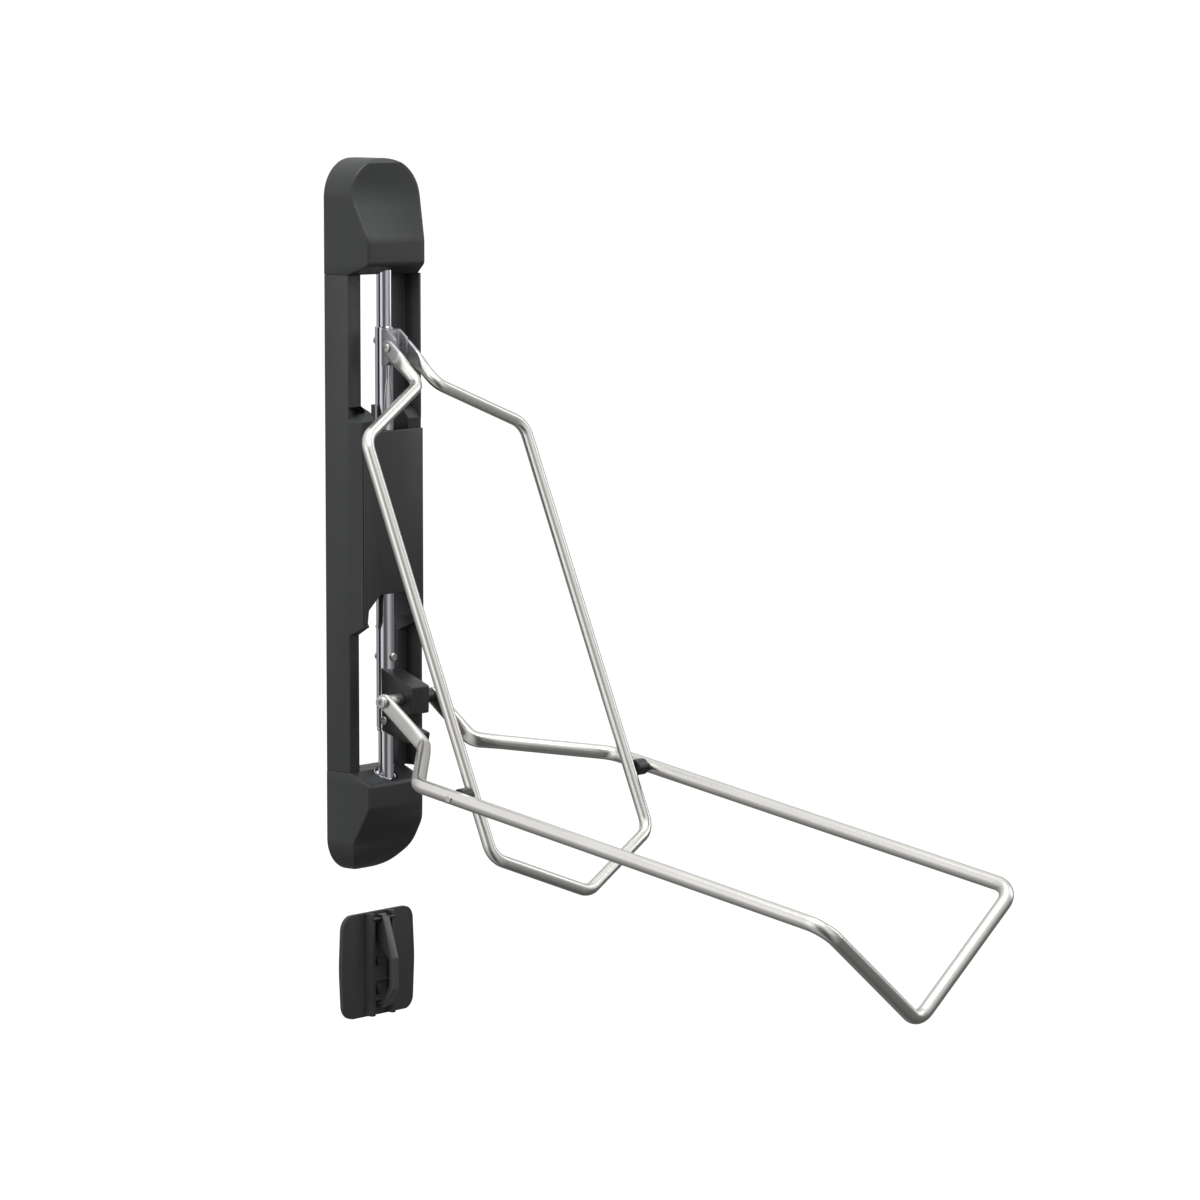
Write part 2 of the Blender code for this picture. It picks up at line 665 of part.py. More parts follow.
def build_slider():
    """What slides on the pole with the head of the hoop."""
    ring("upper_sleeve", (0, POLE_Y, 0.0640), (0, 0, 1), SLEEVE_RADIUS, SLEEVE_BORE, 0.1228, CHROME, 32)
    clevis()
    for name, side in (("left", -1.0), ("right", 1.0)):
        seat = Vector((side * (HOOP_EAR + 0.0028), CLEVIS_PIVOT.y, CLEVIS_PIVOT.z))
        screw_solid(f"clevis_screw_{name}", seat, (side, 0, 0), 0.0044, 0.0016, 0.0030, 0.0085, STEEL)
    seat = (0, POLE_Y + SLEEVE_RADIUS + GAP, 0.1730)
    screw_solid("sleeve_screw_upper", seat, (0, 1, 0), 0.0040, 0.0022, 0.0020, -0.0001, STEEL)
    strut_lug("upper_strut_lug", 0.0720)
    cylinder("strut_rod", (0, STRUT_Y, 0.0030), (0, STRUT_Y, 0.0717), 0.0040, CHROME, 20)


def build_hoop():
    names = (CLEVIS_PIVOT, HOOP_NECK, HOOP_SHOULDER, HOOP_FOOT, HOOP_TIP)
    eye = Vector((HOOP_EAR, CLEVIS_PIVOT.y, CLEVIS_PIVOT.z))
    points = [eye, *names[1:], mirrored(HOOP_FOOT), mirrored(HOOP_SHOULDER)]
    path = bent_path(points, (0.016, 0.020, 0.020, 0.024, 0.020))
    flat_ended_tube("upright_hoop", CLEVIS_PIVOT, path, HOOP_RADIUS, 0.0023, 0.0076, 0.014, 0.020, STAINLESS)


def mirrored(point):
    return Vector((-point.x, point.y, point.z))


def build_lower_frame():
    eye = Vector((ARM_HALF, FRAME_PIVOT.y, FRAME_PIVOT.z))
    points = [eye, ARM_END, TUBE_START, TUBE_OUTER, TUBE_TIP, mirrored(TUBE_OUTER), mirrored(TUBE_START)]
    path = bent_path(points, (0.016, 0.022, 0.022, 0.022, 0.022))
    flat_ended_tube("lower_frame", FRAME_PIVOT, path, TUBE_RADIUS, 0.0029, 0.0078, 0.034, 0.060, STAINLESS, 14)
    for name, side in (("left", -1.0), ("right", 1.0)):
        inner = side * (HOOP_HALF + HOOP_RADIUS + 0.0006)
        place = Vector((inner, CROSSING.y, CROSSING.z))
        length = TUBE_HALF - TUBE_RADIUS - HOOP_HALF - HOOP_RADIUS - 0.0012
        cylinder(f"crossing_bush_{name}", place, place + Vector((side * length, 0, 0)), 0.0080, DARK)
        seat = Vector((side * (TUBE_HALF + TUBE_RADIUS + GAP), CROSSING.y, CROSSING.z))
        screw_solid(f"crossing_rivet_{name}", seat, (side, 0, 0), 0.0032, 0.0011, 0.0016, -0.0001, STAINLESS, 16)


def across_rest(name, place, reach, radius, finish=None):
    reach = Vector((reach, 0, 0))
    return cylinder(name, place - reach, place + reach, radius, finish, sides=16)


def tyre_rest_plate():
    """Curved-sided plate with two upright ribs and three low cross ribs between them."""
    middle = (REST_TOP + REST_BOTTOM) / 2
    bulge = 0.0030
    left, right = REST_X - REST_HALF_WIDTH, REST_X + REST_HALF_WIDTH
    corners = [
        (left + bulge, REST_BOTTOM, 0.015),
        (right - bulge, REST_BOTTOM, 0.013),
        (right, middle, 0.20),
        (right - bulge, REST_TOP, 0.013),
        (left + bulge, REST_TOP, 0.015),
        (left, middle, 0.20),
    ]
    plate = extruded("tyre_rest_plate", rounded(corners, 5), "Y", -REST_THICKNESS, 0.0, BLACK)
    for side in (-1.0, 1.0):
        rib = [
            (REST_X + side * 0.0185, -0.0030),
            (REST_X + side * 0.0170, -0.0120),
            (REST_X + side * 0.0125, -0.0120),
            (REST_X + side * 0.0125, -0.0030),
        ]
        if side < 0:
            rib.reverse()
        boolean(plate, extruded(f"rest_rib_{side:.0f}", rib, "Z", REST_BOTTOM + 0.0005, REST_TOP - 0.0005), "UNION")
    for k, z in enumerate((-0.0300, -0.0690, -0.0890)):
        low = (REST_X - 0.0130, -0.0060, REST_TOP + z - 0.0010)
        high = (REST_X + 0.0130, -0.0030, REST_TOP + z + 0.0010)
        boolean(plate, box(f"rest_cross_rib_{k}", low, high), "UNION")
    return boolean(plate, across_rest("rest_pin_cut", REST_PIN, 0.03, 0.0023))


def tyre_rest_bail():
    """Lever on the pin: an eye with a triangular web, an upright bar and a curled foot."""
    profile = [
        (-0.0158, 0.0),
        (-0.0108, 0.0050, 0.0045),
        (-0.0062, 0.0040, 0.002),
        (-0.0062, -0.0210, 0.002),
        (-0.0225, -0.0410, 0.003),
        (-0.0225, -0.0680, 0.010),
        (-0.0130, -0.0830, 0.008),
        (-0.0066, -0.0850),
        (-0.0066, -0.0905),
        (-0.0165, -0.0885, 0.010),
        (-0.0275, -0.0700, 0.010),
        (-0.0275, -0.0385, 0.002),
    ]
    outline = rounded([(y, REST_PIN.z + z, *radius) for y, z, *radius in reversed(profile)], 4)
    lever = extruded("tyre_rest_bail", outline, "X", REST_X - 0.0048, REST_X + 0.0048, DARK)
    return boolean(lever, across_rest("bail_pin_cut", REST_PIN, 0.03, 0.0023))


def build_tyre_rest():
    plate = tyre_rest_plate()
    tyre_rest_bail()
    across_rest("tyre_rest_pin", REST_PIN, 0.0160, 0.0020, DARK)
    for k, z in enumerate((REST_TOP - 0.0500, REST_TOP - 0.0790)):
        boolean(plate, cylinder(f"rest_hole_{k}", (REST_X, -0.02, z), (REST_X, 0.01, z), 0.0028, sides=16))
        seat = (REST_X, -REST_THICKNESS - GAP, z)
        screw_solid(f"tyre_rest_screw_{k + 1}", seat, (0, -1, 0), 0.0041, 0.0022, 0.0024, 0.0046, DARK, 16)


MOVING = {
    "mast_pivot": (
        Vector((0.0, POLE_Y, 0.0)),
        None,
        (
            "lower_sleeve",
            "pivot_block",
            "pivot_bolt_left",
            "pivot_bolt_right",
            "pivot_spacer_left",
            "pivot_spacer_right",
            "block_screw",
            "sleeve_screw_front",
            "sleeve_screw_rear",
            "lower_strut_lug",
            "strut_cylinder",
        ),
    ),
    "slider_pivot": (
        Vector((0.0, POLE_Y, CLEVIS_PIVOT.z)),
        "mast_pivot",
        (
            "upper_sleeve",
            "clevis",
            "clevis_screw_left",
            "clevis_screw_right",
            "sleeve_screw_upper",
            "upper_strut_lug",
            "strut_rod",
        ),
    ),
    "hoop_pivot": (CLEVIS_PIVOT, "slider_pivot", ("upright_hoop",)),
    "frame_pivot": (
        FRAME_PIVOT,
        "mast_pivot",
        (
            "lower_frame",
            "crossing_bush_left",
            "crossing_bush_right",
            "crossing_rivet_left",
            "crossing_rivet_right",
        ),
    ),
    "bail_pivot": (REST_PIN, None, ("tyre_rest_bail",)),
}


def hang_on_pivots():
    """An empty on each joint's axis carries what moves about it."""
    places = {}
    for name, (place, carrier, parts) in MOVING.items():
        empty = bpy.data.objects.new(name, None)
        empty.empty_display_size = 0.02
        bpy.data.collections[PARTS].objects.link(empty)
        empty.location = place - places.get(carrier, Vector((0, 0, 0)))
        if carrier is not None:
            empty.parent = bpy.data.objects[carrier]
        places[name] = place
        for part in parts:
            thing = bpy.data.objects[part]
            thing.parent = empty
            thing.matrix_parent_inverse = Matrix.Translation(-place)


def main():
    clear_scene()
    build_housing()
    build_pole()
    build_mast()
    build_slider()
    build_hoop()
    build_lower_frame()
    build_tyre_rest()
    hang_on_pivots()


main()
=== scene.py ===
"""Looks for the bicycle wall rack.

Finer covers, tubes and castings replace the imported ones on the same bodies, under studio light.
"""
import json
import math

import bmesh
import bpy
from mathutils import Matrix, Vector


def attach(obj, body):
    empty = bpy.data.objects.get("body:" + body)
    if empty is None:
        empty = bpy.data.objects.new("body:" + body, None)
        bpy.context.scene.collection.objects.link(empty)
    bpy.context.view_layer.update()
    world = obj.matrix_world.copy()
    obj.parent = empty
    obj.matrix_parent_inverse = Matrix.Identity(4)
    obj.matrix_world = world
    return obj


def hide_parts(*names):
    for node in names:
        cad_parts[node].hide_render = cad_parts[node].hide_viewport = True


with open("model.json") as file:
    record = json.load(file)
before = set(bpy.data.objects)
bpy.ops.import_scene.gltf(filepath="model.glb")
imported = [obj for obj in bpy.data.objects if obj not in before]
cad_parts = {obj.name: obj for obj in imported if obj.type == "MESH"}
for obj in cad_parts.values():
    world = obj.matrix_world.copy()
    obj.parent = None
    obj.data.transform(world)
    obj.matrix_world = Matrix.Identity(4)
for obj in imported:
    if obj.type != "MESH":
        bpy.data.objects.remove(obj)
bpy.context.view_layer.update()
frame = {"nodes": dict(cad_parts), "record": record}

# ---------------------------------------------------------------- sizes
# Metres, in the frame's coordinates: the wall is y = 0, the object stands out towards -y, z is up.
GAP = 0.0003
SEAM_GAP = 0.0001
SEAM_ROUND = 0.0006
HALF_WIDTH = 0.0425
HALF_HEIGHT = 0.350
SEAM_TOP = 0.2376
SEAM_BOTTOM = -0.2486
POST_DEPTH = 0.031
PANEL_DEPTH = 0.0525
PANEL_THICKNESS = 0.0026
WALL = 0.003
CENTRE_TOP = 0.097
CENTRE_BOTTOM = -0.103
CENTRE_FOOT = CENTRE_BOTTOM - 0.011
PANEL_TOP = 0.0860
UPPER_WINDOW_HALF = 0.024
LOWER_WINDOW_HALF = 0.0285
CENTRE_WINDOW_HALF = 0.0365
FIN_DEPTH = 0.0500
POLE_Y = -0.040
POLE_RADIUS = 0.0076
SLEEVE_RADIUS = 0.0092
CLEVIS_PIVOT = Vector((0.0, -0.057, 0.167))
FRAME_PIVOT = Vector((0.0, -0.0704, -0.176))
RING_PLACE = Vector((0.0, -0.040, -0.2531))
RING_AXIS = Vector((0.0, -0.4327, 0.9016))
RING_RADIUS = 0.0124
CROSSING = Vector((0.0, -0.2551, -0.2407))
HOOP_RADIUS = 0.0059
HOOP_EAR = 0.0128
HOOP_HALF = 0.115
HOOP_NECK = Vector((HOOP_EAR, -0.0965, 0.133))
HOOP_SHOULDER = Vector((HOOP_HALF, -0.1199, 0.0887))
HOOP_FOOT = Vector((HOOP_HALF, -0.2787, -0.2983))
HOOP_TIP = Vector((0.0, -0.3000, -0.3426))
TUBE_RADIUS = 0.0070
ARM_HALF = 0.0345
TUBE_HALF = 0.143
ARM_END = Vector((ARM_HALF, -0.1215, -0.2153))
TUBE_START = Vector((TUBE_HALF, -0.2102, -0.2327))
TUBE_OUTER = Vector((TUBE_HALF, -0.6960, -0.3160))
TUBE_TIP = Vector((0.0, -0.6920, -0.4215))
REST_X = 0.0265
REST_TOP = -0.3969
REST_BOTTOM = -0.5009
REST_HALF_WIDTH = 0.0537
REST_THICKNESS = 0.0045
REST_PIN = Vector((REST_X, -0.0108, REST_TOP - 0.0065))
BAIL_HALF = 0.0048

# Cutters run this far past what they cut: behind the wall plane, in front of the covers, and to the sides.
PAST = 0.01
PAST_FRONT = -0.07
PAST_SIDE = 0.06

# A colour ShaderNodeMix takes its two colours and gives its result at these sockets.
MIX_A, MIX_B, MIX_RESULT = 6, 7, 2

scene = bpy.context.scene


# ---------------------------------------------------------------- materials
class Nodes:
    """Small helper around one material's node tree."""

    def __init__(self, name):
        self.material = bpy.data.materials.new(name)
        self.material.use_nodes = True
        self.tree = self.material.node_tree
        self.shader = self.tree.nodes["Principled BSDF"]
        self.coords = self.tree.nodes.new("ShaderNodeTexCoord").outputs["Object"]

    def add(self, kind, **values):
        node = self.tree.nodes.new(kind)
        for key, value in values.items():
            setattr(node, key, value)
        return node

    def link(self, a, b):
        self.tree.links.new(a, b)

    def noise(self, scale, detail=3.0, roughness=0.5, stretch=(1, 1, 1)):
        mapping = self.add("ShaderNodeMapping")
        mapping.inputs["Scale"].default_value = stretch
        self.link(self.coords, mapping.inputs["Vector"])
        node = self.add("ShaderNodeTexNoise")
        node.inputs["Scale"].default_value = scale
        node.inputs["Detail"].default_value = detail
        node.inputs["Roughness"].default_value = roughness
        self.link(mapping.outputs["Vector"], node.inputs["Vector"])
        return node.outputs["Fac"]

    def span(self, value, low, high, start=0.3, end=0.7):
        node = self.add("ShaderNodeMapRange")
        node.inputs["From Min"].default_value = start
        node.inputs["From Max"].default_value = end
        node.inputs["To Min"].default_value = low
        node.inputs["To Max"].default_value = high
        self.link(value, node.inputs["Value"])
        return node.outputs["Result"]

    def blend(self, factor, a, b):
        node = self.add("ShaderNodeMix", data_type="RGBA")
        self.link(factor, node.inputs["Factor"])
        for socket, colour in ((node.inputs[MIX_A], a), (node.inputs[MIX_B], b)):
            if isinstance(colour, tuple):
                socket.default_value = (*colour, 1.0)
            else:
                self.link(colour, socket)
        return node.outputs[MIX_RESULT]

    def wear(self, start=0.52, end=0.62):
        """1 along convex edges, 0 on flats and in creases."""
        geometry = self.add("ShaderNodeNewGeometry")
        return self.span(geometry.outputs["Pointiness"], 0.0, 1.0, start, end)

    def bump(self, height, strength, distance):
        node = self.add("ShaderNodeBump")
        node.inputs["Strength"].default_value = strength
        node.inputs["Distance"].default_value = distance
        self.link(height, node.inputs["Height"])
        return node.outputs["Normal"]

    def finish(self, colour, roughness, normal=None, metallic=0.0, **fixed):
        self.link(colour, self.shader.inputs["Base Color"])
        self.link(roughness, self.shader.inputs["Roughness"])
        self.shader.inputs["Metallic"].default_value = metallic
        if normal is not None:
            self.link(normal, self.shader.inputs["Normal"])
        for key, value in fixed.items():
            self.shader.inputs[key.replace("_", " ")].default_value = value
        return self.material


def moulded_plastic(name, dark, light, roughness, grain=1.0):
    """Fine spark-eroded grain over a slow drift of tone, a little paler along edges."""
    n = Nodes(name)
    drift = n.noise(9.0, 2.0)
    speck = n.noise(1400.0, 2.0, 0.6)
    colour = n.blend(n.span(drift, 0.0, 1.0), dark, light)
    colour = n.blend(n.span(speck, 0.0, 0.22), colour, tuple(c * 1.5 for c in light))
    edge = n.wear()
    paler = n.add("ShaderNodeMath", operation="MULTIPLY")
    n.link(edge, paler.inputs[0])
    paler.inputs[1].default_value = 0.25
    colour = n.blend(paler.outputs[0], colour, tuple(c * 2.0 for c in light))
    coarse = n.noise(900.0, 3.0, 0.55)
    rough = n.span(n.noise(60.0, 3.0), roughness - 0.04, roughness + 0.05)
    normal = n.bump(coarse, 0.35 * grain, 0.00012)
    return n.finish(colour, rough, normal, Specular_IOR_Level=0.5)


def satin_metal(name, dark, light, low, high, stretch=(1, 1, 1), scale=700.0, strength=0.12, lift=1.12):
    """Fine brushed or blasted metal: hairlines in tone, roughness and height."""
    n = Nodes(name)
    hair = n.noise(scale, 4.0, 0.65, stretch)
    cloud = n.noise(14.0, 3.0)
    colour = n.blend(n.span(cloud, 0.0, 1.0), dark, light)
    colour = n.blend(n.span(hair, 0.0, 0.25), colour, tuple(min(1.0, c * lift) for c in light))
    rough = n.span(hair, low, high, 0.35, 0.65)
    normal = n.bump(hair, strength, 0.00005)
    return n.finish(colour, rough, normal, metallic=1.0)


def chrome(name):
    """Polished plate with faint wipe marks and a slow ripple."""
    n = Nodes(name)
    wipe = n.noise(260.0, 4.0, 0.7, (1.0, 1.0, 0.12))
    tone = n.noise(20.0, 2.0)
    colour = n.blend(n.span(tone, 0.0, 1.0), (0.68, 0.69, 0.74), (0.76, 0.77, 0.81))
    rough = n.span(wipe, 0.05, 0.13)
    normal = n.bump(wipe, 0.04, 0.00004)
    return n.finish(colour, rough, normal, metallic=1.0)


PLASTIC = moulded_plastic("black_moulded_plastic", (0.020, 0.0215, 0.0215), (0.027, 0.0285, 0.0285), 0.42)
NYLON = moulded_plastic("satin_black_nylon", (0.010, 0.010, 0.011), (0.016, 0.016, 0.017), 0.36, 0.7)
TUBE = satin_metal(
    "satin_stainless_tube",
    (0.66, 0.65, 0.62),
    (0.72, 0.71, 0.68),
    0.25,
    0.30,
    scale=2600.0,
    strength=0.03,
    lift=1.03,
)
# The lever's plastic is made far paler than the other black plastic: painted light, standing in for the light
# its faces catch.
LEVER_PAINTED_LIT = moulded_plastic("lever_plastic_painted_lit", (0.050, 0.051, 0.052), (0.064, 0.065, 0.066), 0.30, 0.7)
CHROME = chrome("polished_chrome")
# Blasted aluminium of the clevis; the hoop's flattened ends also take it, where its darker colour is painted
# reflection.
CASTING_AND_DARK_ENDS = satin_metal(
    "blasted_aluminium", (0.36, 0.365, 0.38), (0.48, 0.485, 0.50), 0.38, 0.52, scale=1100.0, strength=0.3
)
ZINC = satin_metal("bright_zinc", (0.50, 0.50, 0.49), (0.66, 0.66, 0.64), 0.20, 0.36, scale=500.0)


# ---------------------------------------------------------------- mesh helpers
def smoothed(thing, degrees):
    """Smooth shading, with edges sharper than `degrees` left hard."""
    thing.data.shade_smooth()
    thing.data.set_sharp_from_angle(angle=math.radians(degrees))
    return thing


def new_object(name, mesh, degrees=30.0):
    made = bpy.data.objects.new(name, mesh)
    scene.collection.objects.link(made)
    return smoothed(made, degrees)


def built(name, bm, degrees=30.0):
    """The object of a finished bmesh."""
    mesh = bpy.data.meshes.new(name)
    bm.to_mesh(mesh)
    bm.free()
    return new_object(name, mesh, degrees)


def baked(thing):
    """The object with its modifiers worked into its mesh."""
    graph = bpy.context.evaluated_depsgraph_get()
    mesh = bpy.data.meshes.new_from_object(thing.evaluated_get(graph))
    old = thing.data
    thing.modifiers.clear()
    thing.data = mesh
    bpy.data.meshes.remove(old)
    return thing


def drop(thing):
    bpy.data.objects.remove(thing, do_unlink=True)


def rounded(corners, segments=8):
    """Outline from (x, y) or (x, y, radius) corners; a radius turns the corner into an arc."""
    points = []
    for i, corner in enumerate(corners):
        here = Vector(corner[:2])
        radius = corner[2] if len(corner) > 2 else 0.0
        if radius == 0.0:
            points.append(here)
            continue
        before = (Vector(corners[i - 1][:2]) - here).normalized()
        after = (Vector(corners[(i + 1) % len(corners)][:2]) - here).normalized()
        half = before.angle(after) / 2
        centre = here + (before + after).normalized() * radius / math.sin(half)
        start = here + before * radius / math.tan(half) - centre
        sweep = start.angle_signed(here + after * radius / math.tan(half) - centre)
        for k in range(segments + 1):
            turn = -sweep * k / segments
            c, s = math.cos(turn), math.sin(turn)
            points.append(centre + Vector((start.x * c - start.y * s, start.x * s + start.y * c)))
    return points


PLANES = {
    "X": Matrix(((0, 0, 1), (1, 0, 0), (0, 1, 0))).to_4x4(),
    "Y": Matrix(((1, 0, 0), (0, 0, -1), (0, 1, 0))).to_4x4(),
    "Z": Matrix.Identity(4),
}


def extruded(name, outline, axis, low, high):
    """Solid between two stations on an axis. The outline is (y, z) for X, (x, z) for Y, (x, y) for Z."""
    curve = bpy.data.curves.new(name, "CURVE")
    curve.dimensions = "2D"
    curve.fill_mode = "BOTH"
    curve.extrude = (high - low) / 2
    spline = curve.splines.new("POLY")
    spline.points.add(len(outline) - 1)
    for point, place in zip(spline.points, outline):
        point.co = (place[0], place[1], 0.0, 1.0)
    spline.use_cyclic_u = True
    drawn = bpy.data.objects.new(name + "_outline", curve)
    scene.collection.objects.link(drawn)
    graph = bpy.context.evaluated_depsgraph_get()
    mesh = bpy.data.meshes.new_from_object(drawn.evaluated_get(graph))
    drop(drawn)
    middle = (low + high) / 2 * (-1 if axis == "Y" else 1)
    mesh.transform(PLANES[axis] @ Matrix.Translation((0, 0, middle)))
    bm = bmesh.new()
    bm.from_mesh(mesh)
    bmesh.ops.remove_doubles(bm, verts=bm.verts, dist=1e-6)
    bmesh.ops.dissolve_limit(bm, angle_limit=math.radians(0.5), verts=bm.verts, edges=bm.edges)
    bmesh.ops.recalc_face_normals(bm, faces=bm.faces)
    bm.to_mesh(mesh)
    bm.free()
    mesh.name = name
    return new_object(name, mesh)


def box(name, low, high):
    bm = bmesh.new()
    bmesh.ops.create_cube(bm, size=1.0)
    low, high = Vector(low), Vector(high)
    bmesh.ops.scale(bm, vec=high - low, verts=bm.verts)
    bmesh.ops.translate(bm, vec=(low + high) / 2, verts=bm.verts)
    return built(name, bm)


def cylinder(name, start, end, radius, sides=48):
    start, end = Vector(start), Vector(end)
    along = end - start
    bm = bmesh.new()
    bmesh.ops.create_cone(
        bm,
        cap_ends=True,
        segments=sides,
        radius1=radius,
        radius2=radius,
        depth=along.length,
    )
    turn = Vector((0, 0, 1)).rotation_difference(along.normalized()).to_matrix().to_4x4()
    bmesh.ops.transform(bm, matrix=Matrix.Translation((start + end) / 2) @ turn, verts=bm.verts)
    return built(name, bm)


def turned(name, profile, origin, direction, sides=48):
    """A closed (radius, distance) profile spun about `direction`; radius 0 points meet on the axis."""
    bm = bmesh.new()
    turn = Vector((0, 0, 1)).rotation_difference(Vector(direction).normalized()).to_matrix().to_4x4()
    place = Matrix.Translation(Vector(origin)) @ turn
    rings = []
    for radius, height in profile:
        if radius < 1e-7:
            rings.append([bm.verts.new(place @ Vector((0, 0, height)))])
            continue
        angles = (math.tau * k / sides for k in range(sides))
        circle = [Vector((radius * math.cos(a), radius * math.sin(a), height)) for a in angles]
        rings.append([bm.verts.new(place @ point) for point in circle])
    for a, b in zip(rings, rings[1:] + rings[:1]):
        if len(a) == 1 and len(b) == 1:
            continue
        for k in range(sides):
            n = (k + 1) % sides
            corners = [a[k % len(a)], a[n % len(a)], b[n % len(b)], b[k % len(b)]]
            unique = list(dict.fromkeys(corners))
            bm.faces.new(unique)
    bmesh.ops.recalc_face_normals(bm, faces=bm.faces)
    return built(name, bm)


def boolean(thing, other, operation="DIFFERENCE"):
    """Cuts with `other`, or joins or intersects with it, and drops it."""
    step = thing.modifiers.new("cut", "BOOLEAN")
    step.operation = operation
    step.solver = "EXACT"
    step.object = other
    baked(thing)
    drop(other)
    return thing


def bevelled(thing, width, angle):
    """Rounds every edge that turns by more than `angle` degrees."""
    bm = bmesh.new()
    bm.from_mesh(thing.data)
    bmesh.ops.remove_doubles(bm, verts=bm.verts, dist=2e-6)
    bmesh.ops.dissolve_limit(bm, angle_limit=math.radians(0.3), verts=bm.verts, edges=bm.edges)
    bm.to_mesh(thing.data)
    bm.free()
    step = thing.modifiers.new("edge", "BEVEL")
    step.width = width
    step.segments = 3
    step.limit_method = "ANGLE"
    step.angle_limit = math.radians(angle)
    step.use_clamp_overlap = True
    baked(thing)
    return smoothed(thing, 40)


def dressed(thing, material, body, slot, *nodes):
    """Puts the piece on its body, with its material, in place of the nodes named; `slot` is not used."""
    thing.data.materials.clear()
    thing.data.materials.append(material)
    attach(thing, body)
    if nodes:
        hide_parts(*nodes)
    return thing


# ---------------------------------------------------------------- bent tubes
def bent_path(points, radii, segments=12):
    """Points along straight runs joined by arcs; radii are for the inner points."""
    path = [points[0].copy()]
    for i in range(1, len(points) - 1):
        here = points[i]
        before = (points[i - 1] - here).normalized()
        after = (points[i + 1] - here).normalized()
        half = before.angle(after) / 2
        radius = radii[i - 1]
        centre = here + (before + after).normalized() * radius / math.sin(half)
        start = here + before * radius / math.tan(half) - centre
        sweep = math.pi - 2 * half
        axis = start.cross(here + after * radius / math.tan(half) - centre).normalized()
        for k in range(segments + 1):
            path.append(centre + Matrix.Rotation(sweep * k / segments, 3, axis) @ start)
    path.append(points[-1].copy())
    return path


def with_stations(path, marks):
    """(distance, place) along a path, at its own points and at the marked distances."""
    stations = []
    travelled = 0.0
    for a, b in zip(path, path[1:]):
        stations.append((travelled, a))
        length = (b - a).length
        inside = [m for m in sorted(marks) if travelled + 1e-6 < m < travelled + length - 1e-6]
        stations += [(m, a.lerp(b, (m - travelled) / length)) for m in inside]
        travelled += length
    stations.append((travelled, path[-1]))
    return stations


def section(flatness, half_thick, half_wide, radius, sides):
    """Tube outline between a circle (flatness 0) and a soft-cornered flat bar (flatness 1)."""
    power = 2.0 / (2.0 + 3.5 * flatness)
    thick = radius + (half_thick - radius) * flatness
    wide = radius + (half_wide - radius) * flatness
    places = []
    for k in range(sides):
        angle = math.tau * (k + 0.5) / sides
        c, s = math.cos(angle), math.sin(angle)
        across = thick * math.copysign(abs(c) ** power, c)
        along = wide * math.copysign(abs(s) ** power, s)
        places.append((across, along))
    return places


def flat_ended_tube(
    name, eye, path, radius, half_thick, half_wide, flat_length, blend_length, eye_radius, sides=32
):
    """A symmetric bent tube: one half is skinned to x = 0 and mirrored, then the eyes are drilled."""
    marks = [flat_length + blend_length * k / 10 for k in range(11)]
    stations = with_stations(path, marks)
    first = (path[1] - path[0]).normalized()
    thick_axis = Vector((1, 0, 0))
    thick_axis = (thick_axis - first * thick_axis.dot(first)).normalized()
    rows = []
    for degrees in (84, 72, 60, 48, 36, 24, 12):
        angle = math.radians(degrees)
        tip = path[0] - first * half_wide * math.sin(angle)
        rows.append((tip, first, 1.0, half_wide * math.cos(angle)))
    for i, (distance, place) in enumerate(stations):
        if place.x < -1e-6:
            break
        before = place - stations[i - 1][1] if i else first
        after = stations[i + 1][1] - place if i + 1 < len(stations) else before
        tangent = (before.normalized() + after.normalized()).normalized()
        share = min(max((distance - flat_length) / blend_length, 0.0), 1.0)
        share = share * share * (3 - 2 * share)
        rows.append((place, tangent, 1.0 - share, half_wide))
    bm = bmesh.new()
    last = None
    for centre, tangent, flatness, wide in rows:
        thick_axis = (thick_axis - tangent * thick_axis.dot(tangent)).normalized()
        wide_axis = tangent.cross(thick_axis)
        shape = section(flatness, half_thick, wide, radius, sides)
        verts = [bm.verts.new(centre + thick_axis * t + wide_axis * w) for t, w in shape]
        if last is None:
            bm.faces.new(list(reversed(verts)))
        else:
            for k in range(sides):
                n = (k + 1) % sides
                bm.faces.new((last[k], last[n], verts[n], verts[k]))
        last = verts
    for vert in last:
        vert.co.x = 0.0
    bmesh.ops.recalc_face_normals(bm, faces=bm.faces)
    thing = built(name, bm, 45.0)
    mirror = thing.modifiers.new("other_half", "MIRROR")
    mirror.use_clip = True
    mirror.merge_threshold = 0.00002
    baked(thing)
    across = Vector((0.08, 0, 0))
    boolean(thing, cylinder(name + "_eye", eye - across, eye + across, eye_radius))
    return smoothed(thing, 45)


def ends_painted_dark(thing, eye, reach):
    """The pressed, flattened ends take the darker, rougher blasted aluminium; their darker colour is painted
    reflection of dark surroundings in their flat faces.
    """
    thing.data.materials.append(CASTING_AND_DARK_ENDS)
    for face in thing.data.polygons:
        away = face.center - eye
        if math.hypot(away.y, away.z) < reach:
            face.material_index = 1
    return thing


def mirrored(point):
    return Vector((-point.x, point.y, point.z))


# ---------------------------------------------------------------- covers
def depth_at(outline, z):
    """How far an outline of (y, z) points stands out at a height."""
    for a, b in zip(outline, outline[1:]):
        if min(a.y, b.y) - 1e-9 <= z <= max(a.y, b.y) + 1e-9 and abs(a.y - b.y) > 1e-9:
            return -(a.x + (b.x - a.x) * (z - a.y) / (b.y - a.y))
    return -outline[-1].x


def rounded_off(distance, radius):
    """Drop of a quarter round at a distance in from its edge."""
    if distance >= radius:
        return 0.0
    return radius - math.sqrt(radius * radius - (radius - distance) ** 2)


def crease(distance, width):
    """Drop of a facet that starts with a visible crease and steepens towards the edge."""
    near_end = max(1 - distance / width, 0.0)
    return width * near_end * (0.8 + 0.2 * near_end)


